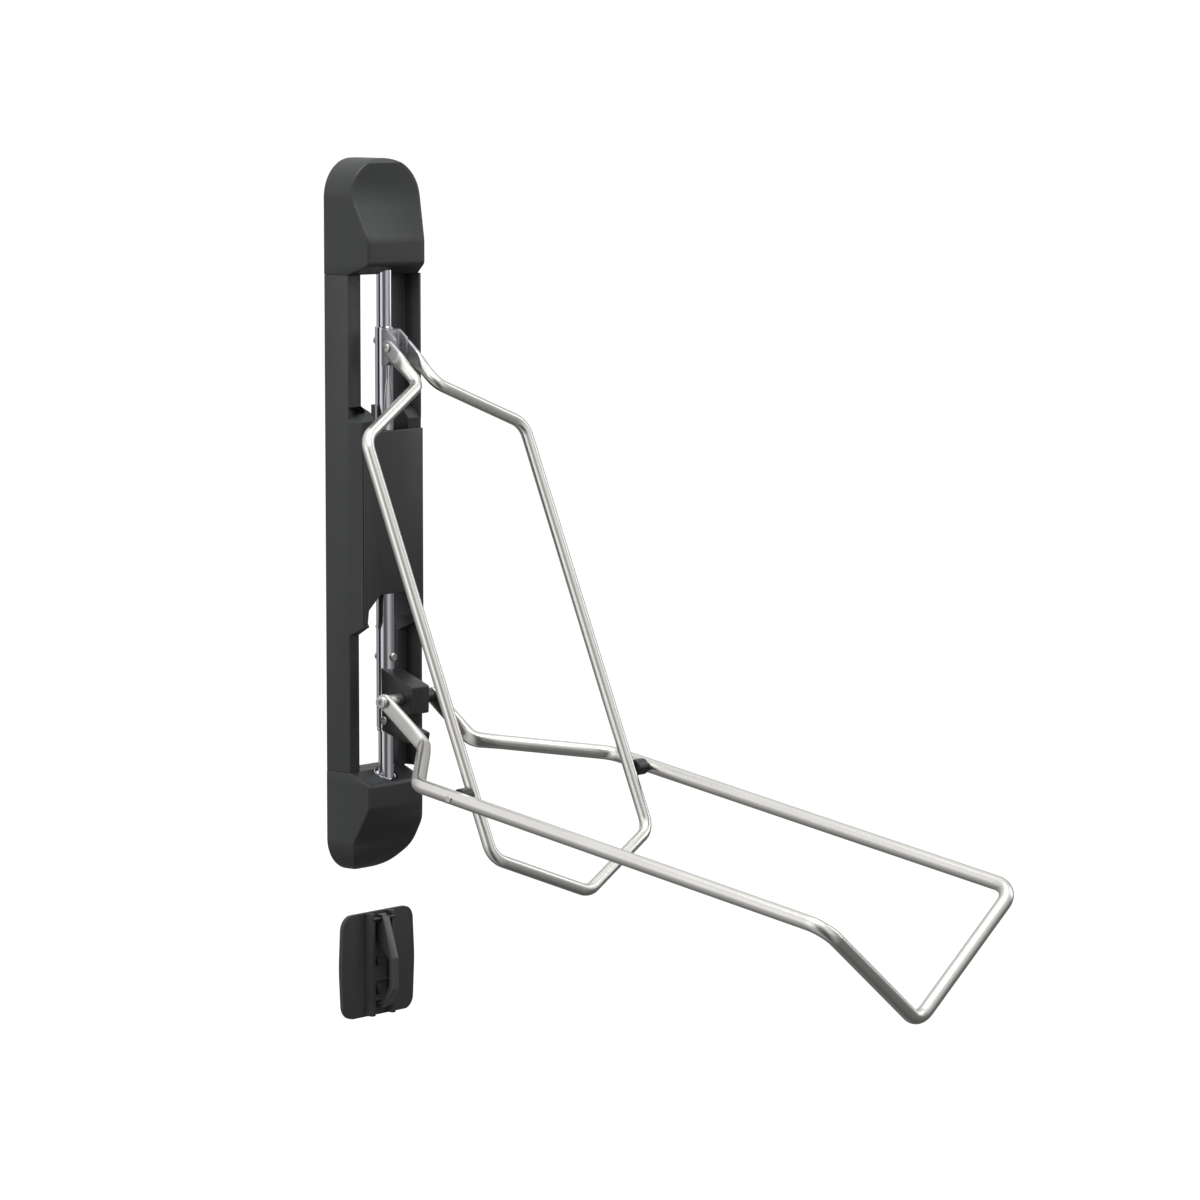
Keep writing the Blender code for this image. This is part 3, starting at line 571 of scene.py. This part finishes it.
# Each cap: rounds of the left and right edges, round or facet at its end, depth of its foot on the right,
# seam and end heights, corner radius, and the profiles of its two sides. A profile holds the nose, shoulder
# and waist as (depth, height, radius), then the depth at the end.
UPPER_CAP = {
    "edges": (0.0026, 0.0060),
    "crown": 0.0045,
    "crown_fall": crease,
    "foot": FIN_DEPTH,
    "seam": SEAM_TOP,
    "end": HALF_HEIGHT,
    "corner": 0.038,
    "left": ((0.0582, 0.2471, 0.006), (0.0582, 0.2730, 0.018), (0.0346, 0.3160, 0.055), 0.0345),
    "right": ((0.0582, 0.2471, 0.006), (0.0582, 0.2696, 0.030), (0.0522, 0.3170, 0.040), 0.0505),
}
LOWER_CAP = {
    "edges": (0.0026, 0.0120),
    "crown": 0.0300,
    "crown_fall": rounded_off,
    "foot": POST_DEPTH,
    "seam": SEAM_BOTTOM,
    "end": -HALF_HEIGHT,
    "corner": 0.034,
    "left": ((0.0563, -0.2595, 0.005), (0.0564, -0.2829, 0.010), (0.0352, -0.3193, 0.012), 0.0350),
    "right": ((0.0563, -0.2595, 0.005), (0.0564, -0.3010, 0.024), (0.0372, -0.3370, 0.012), 0.0360),
}


def cap_levels(outlines, start, end, corner, crown):
    """Heights of the slices: where a profile bends, round the corner, at the seam and round the end."""
    up = 1.0 if end > start else -1.0
    arc_start = end - up * corner
    levels = {point.y for outline in outlines for point in outline}
    levels |= {arc_start + up * corner * math.sin(math.radians(4 * k)) for k in range(23)}
    levels |= {start + up * 0.0002 * k for k in range(4)}
    levels |= {end - up * crown * (1 - math.cos(math.radians(10 * k))) for k in range(10)}
    levels = {round(z, 5) for z in levels}
    return sorted((z for z in levels if min(start, end) <= z <= max(start, end)), reverse=up < 0)


def cap_slices(name, shape, inset):
    """A cap stacked from level slices between its two profiles; `inset` shrinks it for the hollow."""
    up = 1.0 if shape["end"] > shape["seam"] else -1.0
    start = shape["seam"] + up * (SEAM_GAP + inset)
    end = shape["end"] - up * inset
    corner, crown = shape["corner"] - inset, shape["crown"] - inset
    near_edge, far_edge = (max(edge - inset, 0.0005) for edge in shape["edges"])
    widest = HALF_WIDTH - inset
    back = 0.0 if inset == 0.0 else PAST
    outlines = []
    for profile, foot in ((shape["left"], POST_DEPTH), (shape["right"], shape["foot"])):
        nose, (shoulder, shoulder_z, bend), (waist, waist_z, sweep), top = profile
        outline = [
            (PAST, start),
            (-foot, start),
            (-nose[0] + inset, nose[1] + up * inset, nose[2]),
            (-shoulder + inset, shoulder_z, bend),
            (-waist + inset, waist_z, sweep),
            (-top + inset, end),
            (PAST, end),
        ]
        outlines.append(rounded(outline, 10)[1:-1])
    bm = bmesh.new()
    rows = []
    for z in cap_levels(outlines, start, end, corner, crown):
        half = widest - rounded_off(up * (end - z), corner) - rounded_off(up * (z - start), SEAM_ROUND)
        fall = shape["crown_fall"](up * (end - z), crown)
        left, right = (depth_at(outline, z) - fall for outline in outlines)
        near = min(near_edge, half * 0.4, left * 0.8)
        far = min(far_edge, half * 0.8, right * 0.8)
        arc = [math.radians(90 * k / 8) for k in range(9)]
        run = [(-half + near * (1 - math.cos(a)), near * (1 - math.sin(a))) for a in arc]
        run += [(-half + near + (2 * half - near - far) * k / 8, 0.0) for k in range(1, 8)]
        run += [(half - far * (1 - math.cos(a)), far * (1 - math.sin(a))) for a in reversed(arc)]
        places = [(-half, back)]
        places += [(x, short - left - (right - left) * (x + widest) / (2 * widest)) for x, short in run]
        places.append((half, back))
        rows.append([bm.verts.new((x, y, z)) for x, y in places])
    for first, second in zip(rows, rows[1:]):
        for i in range(len(first)):
            n = (i + 1) % len(first)
            bm.faces.new((first[i], first[n], second[n], second[i]))
    bm.faces.new(rows[0])
    bm.faces.new(rows[-1])
    bmesh.ops.recalc_face_normals(bm, faces=bm.faces)
    return built(name, bm)


def cap(name, shape):
    """Hollow cap with the pole's hole: upright in the upper cap, square to the slope in the lower."""
    shell = cap_slices(name + "_cover", shape, 0.0)
    boolean(shell, cap_slices(name + "_hollow", shape, WALL))
    if shape is UPPER_CAP:
        middle, reach, radius = Vector((0, POLE_Y, SEAM_TOP)), Vector((0, 0, 0.02)), POLE_RADIUS + 0.0006
    else:
        middle, reach, radius = RING_PLACE, RING_AXIS * 0.018, RING_RADIUS + 0.0004
    boolean(shell, cylinder(name + "_hole", middle - reach, middle + reach, radius, 64))
    return dressed(smoothed(shell, 35), PLASTIC, "root", "black_plastic", name)


def housing():
    """Body between the caps: two posts open towards the wall, an upper and a lower window, a boxed centre."""
    side = [
        (0.0, SEAM_BOTTOM),
        (-FIN_DEPTH, SEAM_BOTTOM),
        (-FIN_DEPTH, CENTRE_FOOT),
        (-PANEL_DEPTH + PANEL_THICKNESS + GAP, CENTRE_BOTTOM),
        (-PANEL_DEPTH + PANEL_THICKNESS + GAP, CENTRE_TOP - 0.003),
        (-FIN_DEPTH, CENTRE_TOP),
        (-FIN_DEPTH, SEAM_TOP),
        (0.0, SEAM_TOP),
    ]
    body = extruded("housing_cover", side, "X", -HALF_WIDTH, HALF_WIDTH)
    above, below = SEAM_TOP + PAST, SEAM_BOTTOM - PAST
    upper = [
        (-UPPER_WINDOW_HALF, 0.080),
        (UPPER_WINDOW_HALF, 0.080),
        (UPPER_WINDOW_HALF, above),
        (-UPPER_WINDOW_HALF, above),
    ]
    lower = [
        (-LOWER_WINDOW_HALF, below),
        (LOWER_WINDOW_HALF, below),
        (LOWER_WINDOW_HALF, CENTRE_FOOT),
        (CENTRE_WINDOW_HALF, CENTRE_BOTTOM + 0.004),
        (CENTRE_WINDOW_HALF, -0.077),
        (-CENTRE_WINDOW_HALF, -0.077),
        (-CENTRE_WINDOW_HALF, CENTRE_BOTTOM + 0.004),
        (-LOWER_WINDOW_HALF, CENTRE_FOOT),
    ]
    boolean(body, extruded("upper_window", upper, "Y", PAST_FRONT, PAST))
    boolean(body, extruded("lower_window", lower, "Y", PAST_FRONT, PAST))
    inner = HALF_WIDTH - WALL
    flange = -POST_DEPTH + WALL
    boolean(body, box("upper_channels", (-inner, flange, 0.107), (inner, PAST, above)))
    boolean(body, box("lower_channels", (-inner, flange, below), (inner, PAST, CENTRE_FOOT)))
    brow = [
        (-POST_DEPTH, above),
        (-POST_DEPTH, 0.1096),
        (-0.0430, 0.1045),
        (-0.0520, 0.0935),
        (-0.0800, 0.0935),
        (-0.0800, above),
    ]
    boolean(body, extruded("brow", brow, "X", -PAST_SIDE, inner))
    facet = [(-PAST_SIDE, 0.0826), (-0.0235, 0.1100), (-PAST_SIDE, 0.1300)]
    boolean(body, extruded("brow_facet", facet, "Y", PAST_FRONT, -POST_DEPTH))
    ramp = [
        (-POST_DEPTH, below),
        (-0.08, below),
        (-0.08, CENTRE_BOTTOM),
        (-PANEL_DEPTH, CENTRE_BOTTOM),
        (-POST_DEPTH, CENTRE_FOOT),
    ]
    boolean(body, extruded("lower_ramp", ramp, "X", -PAST_SIDE, inner))
    boolean(body, box("centre_hollow", (-inner, PAST_FRONT, -0.066), (inner, PAST, 0.084)))
    boolean(body, cylinder("pole_bore", (0, POLE_Y, -0.2), (0, POLE_Y, 0.2), 0.0125))
    slot_low = (-CENTRE_WINDOW_HALF, PAST_FRONT, -0.08)
    slot_high = (CENTRE_WINDOW_HALF, POLE_Y + 0.012, -0.06)
    boolean(body, box("centre_slot", slot_low, slot_high))
    bevelled(body, 0.0010, 25.0)
    return dressed(body, PLASTIC, "root", "black_plastic", "housing_body")


def panel():
    """Front cover of the boxed centre, with an arch cut into its lower edge."""
    foot = CENTRE_BOTTOM + 0.002
    front = [
        (-HALF_WIDTH, foot),
        (-0.0385, foot),
        (-0.0368, -0.088, 0.004),
        (-0.0200, -0.074, 0.004),
        (0.0200, -0.074, 0.004),
        (0.0368, -0.088, 0.004),
        (0.0385, foot),
        (HALF_WIDTH, foot),
        (HALF_WIDTH, PANEL_TOP),
        (-HALF_WIDTH, PANEL_TOP),
    ]
    inside = -PANEL_DEPTH + PANEL_THICKNESS
    cover = extruded("front_cover", rounded(front), "Y", -PANEL_DEPTH, inside)
    bevelled(cover, 0.0011, 30.0)
    return dressed(cover, PLASTIC, "root", "black_plastic", "front_panel")


cap("upper_cap", UPPER_CAP)
cap("lower_cap", LOWER_CAP)
housing()
panel()


# ---------------------------------------------------------------- pole and carriage
def tube_ring(
    name, low, length, outer, inner, body, edge=0.0006, material=CHROME, slot="chromed_steel", **place
):
    """A chamfered tube or washer on the pole, or along `direction` from `origin`."""
    profile = [
        (inner, length),
        (outer - edge, length),
        (outer, length - edge),
        (outer, edge),
        (outer - edge, 0.0),
        (inner, 0.0),
    ]
    origin = place.get("origin", Vector((0, POLE_Y, low)))
    made = turned(name + "_look", profile, origin, place.get("direction", (0, 0, 1)), 72)
    return dressed(made, material, body, slot, name)


SLEEVE_BORE = POLE_RADIUS + GAP
POLE_LOW, POLE_HIGH = -0.2850, 0.2740
POLE_CHAMFER = 0.0006
pole_profile = [
    (0.0, POLE_HIGH),
    (POLE_RADIUS - POLE_CHAMFER, POLE_HIGH),
    (POLE_RADIUS, POLE_HIGH - POLE_CHAMFER),
    (POLE_RADIUS, POLE_LOW + POLE_CHAMFER),
    (POLE_RADIUS - POLE_CHAMFER, POLE_LOW),
    (0.0, POLE_LOW),
]
pole = turned("polished_pole", pole_profile, (0, POLE_Y, 0), (0, 0, 1), 72)
dressed(pole, CHROME, "root", "chromed_steel", "pole")
ring_seat = RING_PLACE - RING_AXIS * 0.0016
tube_ring("pole_ring", 0, 0.0020, RING_RADIUS, 0.0100, "root", 0.0004, origin=ring_seat, direction=RING_AXIS)
tube_ring("stop_collar", -0.2103, 0.0030, SLEEVE_RADIUS - 0.0004, SLEEVE_BORE, "root", 0.0003)
tube_ring("lower_sleeve", -0.2070, 0.1570, SLEEVE_RADIUS, SLEEVE_BORE, "mast")
tube_ring("upper_sleeve", 0.0640, 0.1228, SLEEVE_RADIUS, SLEEVE_BORE, "slider")


def socket_screw(node, seat, direction, head, height, shank, length, body):
    """A button head with a hexagon socket; the shank runs against `direction`."""
    seat, direction = Vector(seat), Vector(direction).normalized()
    crown = height * 0.45
    arc = [math.radians(a) for a in (90, 68, 45, 22, 0)]
    profile = [(0.0, height)]
    profile += [(head - crown + crown * math.cos(a), height - crown + crown * math.sin(a)) for a in arc]
    profile += [(head, 0.0), (shank, 0.0), (shank, -length), (0.0, -length)]
    made = turned(node + "_look", profile, seat, direction, 40)
    depth = height * 0.75
    bottom, mouth = seat + direction * (height - depth), seat + direction * (height + 0.002)
    boolean(made, cylinder(node + "_socket", bottom, mouth, head * 0.45, 6))
    return dressed(smoothed(made, 35), ZINC, body, "zinc_steel", node)


EAR_GAP = 0.0033
BLOCK_SIDE = 0.0131
BUSH_GAP = 0.0006
BUSH_RADIUS = 0.0080
for name, side, spacer, slot in (("left", -1.0, ZINC, "zinc_steel"), ("right", 1.0, NYLON, "dark_nylon")):
    out = (side, 0, 0)
    seat = (side * (ARM_HALF + EAR_GAP), FRAME_PIVOT.y, FRAME_PIVOT.z)
    socket_screw(f"pivot_bolt_{name}", seat, out, 0.0066, 0.0042, 0.0039, 0.0340, "mast")
    tube_ring(
        f"pivot_spacer_{name}",
        0,
        ARM_HALF - EAR_GAP - BLOCK_SIDE,
        0.0066,
        0.0042,
        "mast",
        0.0005,
        spacer,
        slot,
        origin=Vector((side * BLOCK_SIDE, FRAME_PIVOT.y, FRAME_PIVOT.z)),
        direction=out,
    )
    seat = (side * (HOOP_EAR + 0.0028), CLEVIS_PIVOT.y, CLEVIS_PIVOT.z)
    socket_screw(f"clevis_screw_{name}", seat, out, 0.0044, 0.0016, 0.0030, 0.0085, "slider")
    inner = Vector((side * (HOOP_HALF + HOOP_RADIUS + BUSH_GAP), CROSSING.y, CROSSING.z))
    length = TUBE_HALF - TUBE_RADIUS - HOOP_HALF - HOOP_RADIUS - 2 * BUSH_GAP
    bush = [
        (0.0, length),
        (BUSH_RADIUS - 0.0006, length),
        (BUSH_RADIUS, length - 0.0006),
        (BUSH_RADIUS, 0.0006),
        (BUSH_RADIUS - 0.0006, 0.0),
        (0.0, 0.0),
    ]
    made = turned(f"crossing_bush_{name}_look", bush, inner, out, 56)
    dressed(made, NYLON, "lower_frame", "dark_nylon", f"crossing_bush_{name}")


def clevis():
    """Casting on the upper sleeve: two cheeks around the pole with an eye each for the hoop's screws."""
    pivot = CLEVIS_PIVOT
    outline = rounded(
        [
            (0.0102, -0.0700),
            (0.0102, -0.0455),
            (-0.0102, -0.0455),
            (-0.0102, -0.0700),
            (-0.0068, -0.0700),
            (-0.0068, -0.0528, 0.002),
            (0.0068, -0.0528, 0.002),
            (0.0068, -0.0700),
        ]
    )
    body = extruded("clevis_casting", outline, "Z", 0.1400, 0.1900)
    side = rounded(
        [
            (-0.0400, 0.1845),
            (-0.0520, 0.1845, 0.004),
            (pivot.y - 0.0054, pivot.z + 0.0090, 0.006),
            (pivot.y - 0.0054, pivot.z - 0.0070, 0.006),
            (-0.0500, 0.1490, 0.004),
            (-0.0400, 0.1490),
        ]
    )
    boolean(body, extruded("clevis_profile", side, "X", -0.03, 0.03), "INTERSECT")
    bevelled(body, 0.0006, 35.0)
    bore = cylinder("clevis_bore", (0, POLE_Y, 0.1), (0, POLE_Y, 0.25), SLEEVE_RADIUS + GAP, 64)
    boolean(body, bore)
    across = Vector((0.03, 0, 0))
    boolean(body, cylinder("clevis_eyes", pivot - across, pivot + across, 0.0033))
    return dressed(smoothed(body, 35), CASTING_AND_DARK_ENDS, "slider", "cast_aluminium", "clevis")


def pivot_block():
    """Hooked block on the lower sleeve that carries the lower frame's pivot bolts."""
    side = [
        (-0.0450, -0.1470),
        (-0.0860, -0.1632, 0.002),
        (-0.0855, -0.1900, 0.002),
        (-0.0735, -0.1910, 0.003),
        (-0.0735, -0.2050, 0.004),
        (-0.0870, -0.2095, 0.002),
        (-0.0850, -0.2190, 0.003),
        (-0.0660, -0.2150, 0.020),
        (-0.0460, -0.2085, 0.001),
    ]
    block = extruded("pivot_casting", rounded(side), "X", -0.0128, 0.0128)
    bevelled(block, 0.0009, 35.0)
    bore = cylinder("block_bore", (0, POLE_Y, -0.25), (0, POLE_Y, -0.1), SLEEVE_RADIUS + GAP, 64)
    boolean(block, bore)
    across = Vector((0.05, 0, 0))
    boolean(block, cylinder("block_eye", FRAME_PIVOT - across, FRAME_PIVOT + across, 0.0043))
    return dressed(smoothed(block, 35), NYLON, "mast", "dark_nylon", "pivot_block")


clevis()
pivot_block()


# ---------------------------------------------------------------- tyre rest
def rest_plate():
    """Curved-sided plate with two upright ribs and three low cross ribs between them."""
    middle = (REST_TOP + REST_BOTTOM) / 2
    bulge = 0.0030
    left, right = REST_X - REST_HALF_WIDTH, REST_X + REST_HALF_WIDTH
    corners = [
        (left + bulge, REST_BOTTOM, 0.015),
        (right - bulge, REST_BOTTOM, 0.013),
        (right, middle, 0.20),
        (right - bulge, REST_TOP, 0.013),
        (left + bulge, REST_TOP, 0.015),
        (left, middle, 0.20),
    ]
    plate = extruded("rest_cover", rounded(corners, 12), "Y", -REST_THICKNESS, 0.0)
    for side in (-1.0, 1.0):
        rib = [
            (REST_X + side * 0.0185, -0.0030),
            (REST_X + side * 0.0170, -0.0120),
            (REST_X + side * 0.0125, -0.0120),
            (REST_X + side * 0.0125, -0.0030),
        ]
        if side < 0:
            rib.reverse()
        low, high = REST_BOTTOM + 0.0005, REST_TOP - 0.0005
        boolean(plate, extruded(f"rib_{side:.0f}", rib, "Z", low, high), "UNION")
    for k, z in enumerate((-0.0300, -0.0690, -0.0890)):
        low = (REST_X - 0.0130, -0.0060, REST_TOP + z - 0.0010)
        high = (REST_X + 0.0130, -0.0030, REST_TOP + z + 0.0010)
        boolean(plate, box(f"cross_rib_{k}", low, high), "UNION")
    bevelled(plate, 0.0007, 30.0)
    return dressed(plate, PLASTIC, "root", "black_plastic", "tyre_rest_plate")


def rest_bail():
    """Lever on the pin: an eye with a triangular web, an upright bar and a curled foot."""
    profile = [
        (-0.0158, 0.0),
        (-0.0108, 0.0050, 0.0045),
        (-0.0062, 0.0040, 0.002),
        (-0.0062, -0.0210, 0.002),
        (-0.0225, -0.0410, 0.003),
        (-0.0225, -0.0680, 0.010),
        (-0.0130, -0.0830, 0.008),
        (-0.0066, -0.0850),
        (-0.0066, -0.0905),
        (-0.0165, -0.0885, 0.010),
        (-0.0275, -0.0700, 0.010),
        (-0.0275, -0.0385, 0.002),
    ]
    outline = rounded([(y, REST_PIN.z + z, *radius) for y, z, *radius in reversed(profile)], 8)
    lever = extruded("rest_lever", outline, "X", REST_X - BAIL_HALF, REST_X + BAIL_HALF)
    bevelled(lever, 0.0007, 35.0)
    across = Vector((0.03, 0, 0))
    boolean(lever, cylinder("lever_eye", REST_PIN - across, REST_PIN + across, 0.0023))
    shallow = Vector((BAIL_HALF - 0.0014, 0, 0))
    for side in (-1.0, 1.0):
        start = REST_PIN + shallow * side
        boolean(lever, cylinder("lever_recess", start, start + Vector((side * 0.004, 0, 0)), 0.0038))
    # The paler lever plastic is painted light on its faces.
    return dressed(smoothed(lever, 35), LEVER_PAINTED_LIT, "rest_bail", "dark_nylon", "tyre_rest_bail")


rest_plate()
rest_bail()


# ---------------------------------------------------------------- hoop and lower frame
hoop_path = bent_path(
    [
        Vector((HOOP_EAR, CLEVIS_PIVOT.y, CLEVIS_PIVOT.z)),
        HOOP_NECK,
        HOOP_SHOULDER,
        HOOP_FOOT,
        HOOP_TIP,
        mirrored(HOOP_FOOT),
        mirrored(HOOP_SHOULDER),
    ],
    (0.016, 0.020, 0.020, 0.024, 0.020),
)
hoop = flat_ended_tube(
    "hoop_tube",
    CLEVIS_PIVOT,
    hoop_path,
    HOOP_RADIUS,
    half_thick=0.0023,
    half_wide=0.0076,
    flat_length=0.014,
    blend_length=0.020,
    eye_radius=0.0034,
)
dressed(hoop, TUBE, "hoop", "satin_stainless", "upright_hoop")
# The flattened ends take the darker material as painted reflection.
ends_painted_dark(hoop, CLEVIS_PIVOT, 0.0150)

frame_path = bent_path(
    [
        Vector((ARM_HALF, FRAME_PIVOT.y, FRAME_PIVOT.z)),
        ARM_END,
        TUBE_START,
        TUBE_OUTER,
        TUBE_TIP,
        mirrored(TUBE_OUTER),
        mirrored(TUBE_START),
    ],
    (0.016, 0.022, 0.022, 0.022, 0.022),
)
lower = flat_ended_tube(
    "frame_tube",
    FRAME_PIVOT,
    frame_path,
    TUBE_RADIUS,
    half_thick=0.0029,
    half_wide=0.0078,
    flat_length=0.034,
    blend_length=0.060,
    eye_radius=0.0043,
)
dressed(lower, TUBE, "lower_frame", "satin_stainless", "lower_frame")


# ---------------------------------------------------------------- finishes of the nodes that stay
LOOKS = {
    "black_plastic": PLASTIC,
    "dark_nylon": NYLON,
    "satin_stainless": TUBE,
    "chromed_steel": CHROME,
    "cast_aluminium": CASTING_AND_DARK_ENDS,
    "zinc_steel": ZINC,
}
for part in frame["record"]["subparts"]:
    node = frame["nodes"][part["node"]]
    for place in node.material_slots:
        place.material = LOOKS[part["material_slot"]]

# ---------------------------------------------------------------- floor, light and camera
FLOOR_HALF = 3000.0
FLOOR_HEIGHT = -1.30
floor_mesh = bpy.data.meshes.new("floor")
bm = bmesh.new()
bmesh.ops.create_grid(bm, x_segments=1, y_segments=1, size=FLOOR_HALF)
bm.to_mesh(floor_mesh)
bm.free()
floor = bpy.data.objects.new("floor", floor_mesh)
floor.location = (0.0, 0.0, FLOOR_HEIGHT)
scene.collection.objects.link(floor)
floor.visible_diffuse = False
floor.visible_glossy = False
n = Nodes("studio_floor")
pale = n.blend(n.span(n.noise(0.8), 0.0, 1.0), (0.30, 0.30, 0.30), (0.33, 0.33, 0.33))
n.finish(pale, n.span(n.noise(2.0), 0.85, 0.95), Specular_IOR_Level=0.0, Emission_Strength=0.80)
glow = n.blend(n.span(n.noise(0.5), 0.0, 1.0), (0.985, 0.985, 0.985), (1.0, 1.0, 1.0))
n.link(glow, n.shader.inputs["Emission Color"])
# The floor glows evenly from above and is clear from below, so views from below still see the object.
facing = n.add("ShaderNodeNewGeometry")
clear = n.add("ShaderNodeBsdfTransparent")
mixed = n.add("ShaderNodeMixShader")
n.link(facing.outputs["Backfacing"], mixed.inputs["Fac"])
n.link(n.shader.outputs["BSDF"], mixed.inputs[1])
n.link(clear.outputs["BSDF"], mixed.inputs[2])
n.link(mixed.outputs["Shader"], n.tree.nodes["Material Output"].inputs["Surface"])
floor_mesh.materials.append(n.material)

world = bpy.data.worlds.new("studio")
scene.world = world
world.use_nodes = True
tree = world.node_tree
background = tree.nodes["Background"]


def world_ramp(output, stops):
    ramp = tree.nodes.new("ShaderNodeValToRGB")
    ramp.color_ramp.interpolation = "EASE"
    while len(ramp.color_ramp.elements) < len(stops):
        ramp.color_ramp.elements.new(0.5)
    for element, (place, value) in zip(ramp.color_ramp.elements, stops):
        element.position = place
        element.color = (value, value, value, 1.0)
    tree.links.new(output, ramp.inputs["Fac"])
    return ramp.outputs["Color"]


coordinates = tree.nodes.new("ShaderNodeTexCoord")
split = tree.nodes.new("ShaderNodeSeparateXYZ")
tree.links.new(coordinates.outputs["Generated"], split.inputs[0])
lift = tree.nodes.new("ShaderNodeMapRange")
lift.inputs["From Min"].default_value = -1.0
tree.links.new(split.outputs["Z"], lift.inputs["Value"])
sky = world_ramp(lift.outputs["Result"], ((0.0, 0.25), (0.44, 0.45), (0.54, 0.85), (1.0, 1.0)))

# Around the horizon: a dark gap where the viewer stands, tall bright panels either side of it, grey behind.
# Bearings are degrees from the viewer's side, positive to the viewer's right.
AZIMUTH = math.radians(-50.0)
ELEVATION = math.radians(6.43)
toward = Vector((math.sin(AZIMUTH), -math.cos(AZIMUTH), 0.0))
sideways = Vector((math.cos(AZIMUTH), math.sin(AZIMUTH), 0.0))


def along(direction):
    node = tree.nodes.new("ShaderNodeVectorMath")
    node.operation = "DOT_PRODUCT"
    node.inputs[1].default_value = direction
    tree.links.new(coordinates.outputs["Generated"], node.inputs[0])
    return node.outputs["Value"]


turn = tree.nodes.new("ShaderNodeMath")
turn.operation = "ARCTAN2"
tree.links.new(along(sideways), turn.inputs[0])
tree.links.new(along(toward), turn.inputs[1])
bearing = tree.nodes.new("ShaderNodeMapRange")
bearing.inputs["From Min"].default_value = -math.pi
bearing.inputs["From Max"].default_value = math.pi
tree.links.new(turn.outputs["Value"], bearing.inputs["Value"])
PANELS = (
    (-180, 0.42),
    (-125, 0.46),
    (-80, 0.80),
    (-48, 1.30),
    (-32, 0.95),
    (-16, 0.16),
    (14, 0.18),
    (32, 0.70),
    (48, 0.80),
    (80, 0.38),
    (105, 0.24),
    (150, 0.30),
    (180, 0.42),
)
around = world_ramp(bearing.outputs["Result"], tuple(((a + 180) / 360, value) for a, value in PANELS))
dome = tree.nodes.new("ShaderNodeMix")
dome.data_type = "RGBA"
dome.blend_type = "MULTIPLY"
dome.inputs["Factor"].default_value = 1.0
tree.links.new(sky, dome.inputs[MIX_A])
tree.links.new(around, dome.inputs[MIX_B])
steep = tree.nodes.new("ShaderNodeMapRange")
steep.inputs["From Min"].default_value = 0.28
steep.inputs["From Max"].default_value = 0.80
tree.links.new(split.outputs["Z"], steep.inputs["Value"])
roof = tree.nodes.new("ShaderNodeMix")
roof.data_type = "RGBA"
tree.links.new(steep.outputs["Result"], roof.inputs["Factor"])
tree.links.new(dome.outputs[MIX_RESULT], roof.inputs[MIX_A])
roof.inputs[MIX_B].default_value = (0.68, 0.68, 0.68, 1.0)
tree.links.new(roof.outputs[MIX_RESULT], background.inputs["Color"])
background.inputs["Strength"].default_value = 1.45


def softbox(name, place, target, size, power):
    data = bpy.data.lights.new(name, "AREA")
    data.shape = "RECTANGLE"
    data.size, data.size_y = size
    data.energy = power
    lamp = bpy.data.objects.new(name, data)
    scene.collection.objects.link(lamp)
    lamp.location = place
    lamp.rotation_mode = "QUATERNION"
    lamp.rotation_quaternion = (Vector(target) - Vector(place)).to_track_quat("-Z", "Y")
    return lamp


softbox("overhead_softbox", (-0.3, -0.9, 2.6), (0.0, -0.2, 0.0), (2.4, 2.0), 60.0)
softbox("right_softbox", (2.6, -1.6, 1.0), (0.0, -0.2, -0.1), (1.2, 2.2), 12.0)

CAMERA_TARGET = Vector((0.1361, -0.2000, -0.0816))
CAMERA_DISTANCE = 5.4835
camera_data = bpy.data.cameras.new("camera")
camera = bpy.data.objects.new("camera", camera_data)
scene.collection.objects.link(camera)
camera_data.lens = 168.0
camera_data.sensor_width = 36.0
camera_data.clip_start = 0.1
camera_data.clip_end = 9000.0
back = Vector(
    (
        math.sin(AZIMUTH) * math.cos(ELEVATION),
        -math.cos(AZIMUTH) * math.cos(ELEVATION),
        math.sin(ELEVATION),
    )
)
camera.location = CAMERA_TARGET + back * CAMERA_DISTANCE
camera.rotation_mode = "QUATERNION"
camera.rotation_quaternion = (-back).to_track_quat("-Z", "Y")
scene.camera = camera
scene.view_settings.view_transform = "Standard"
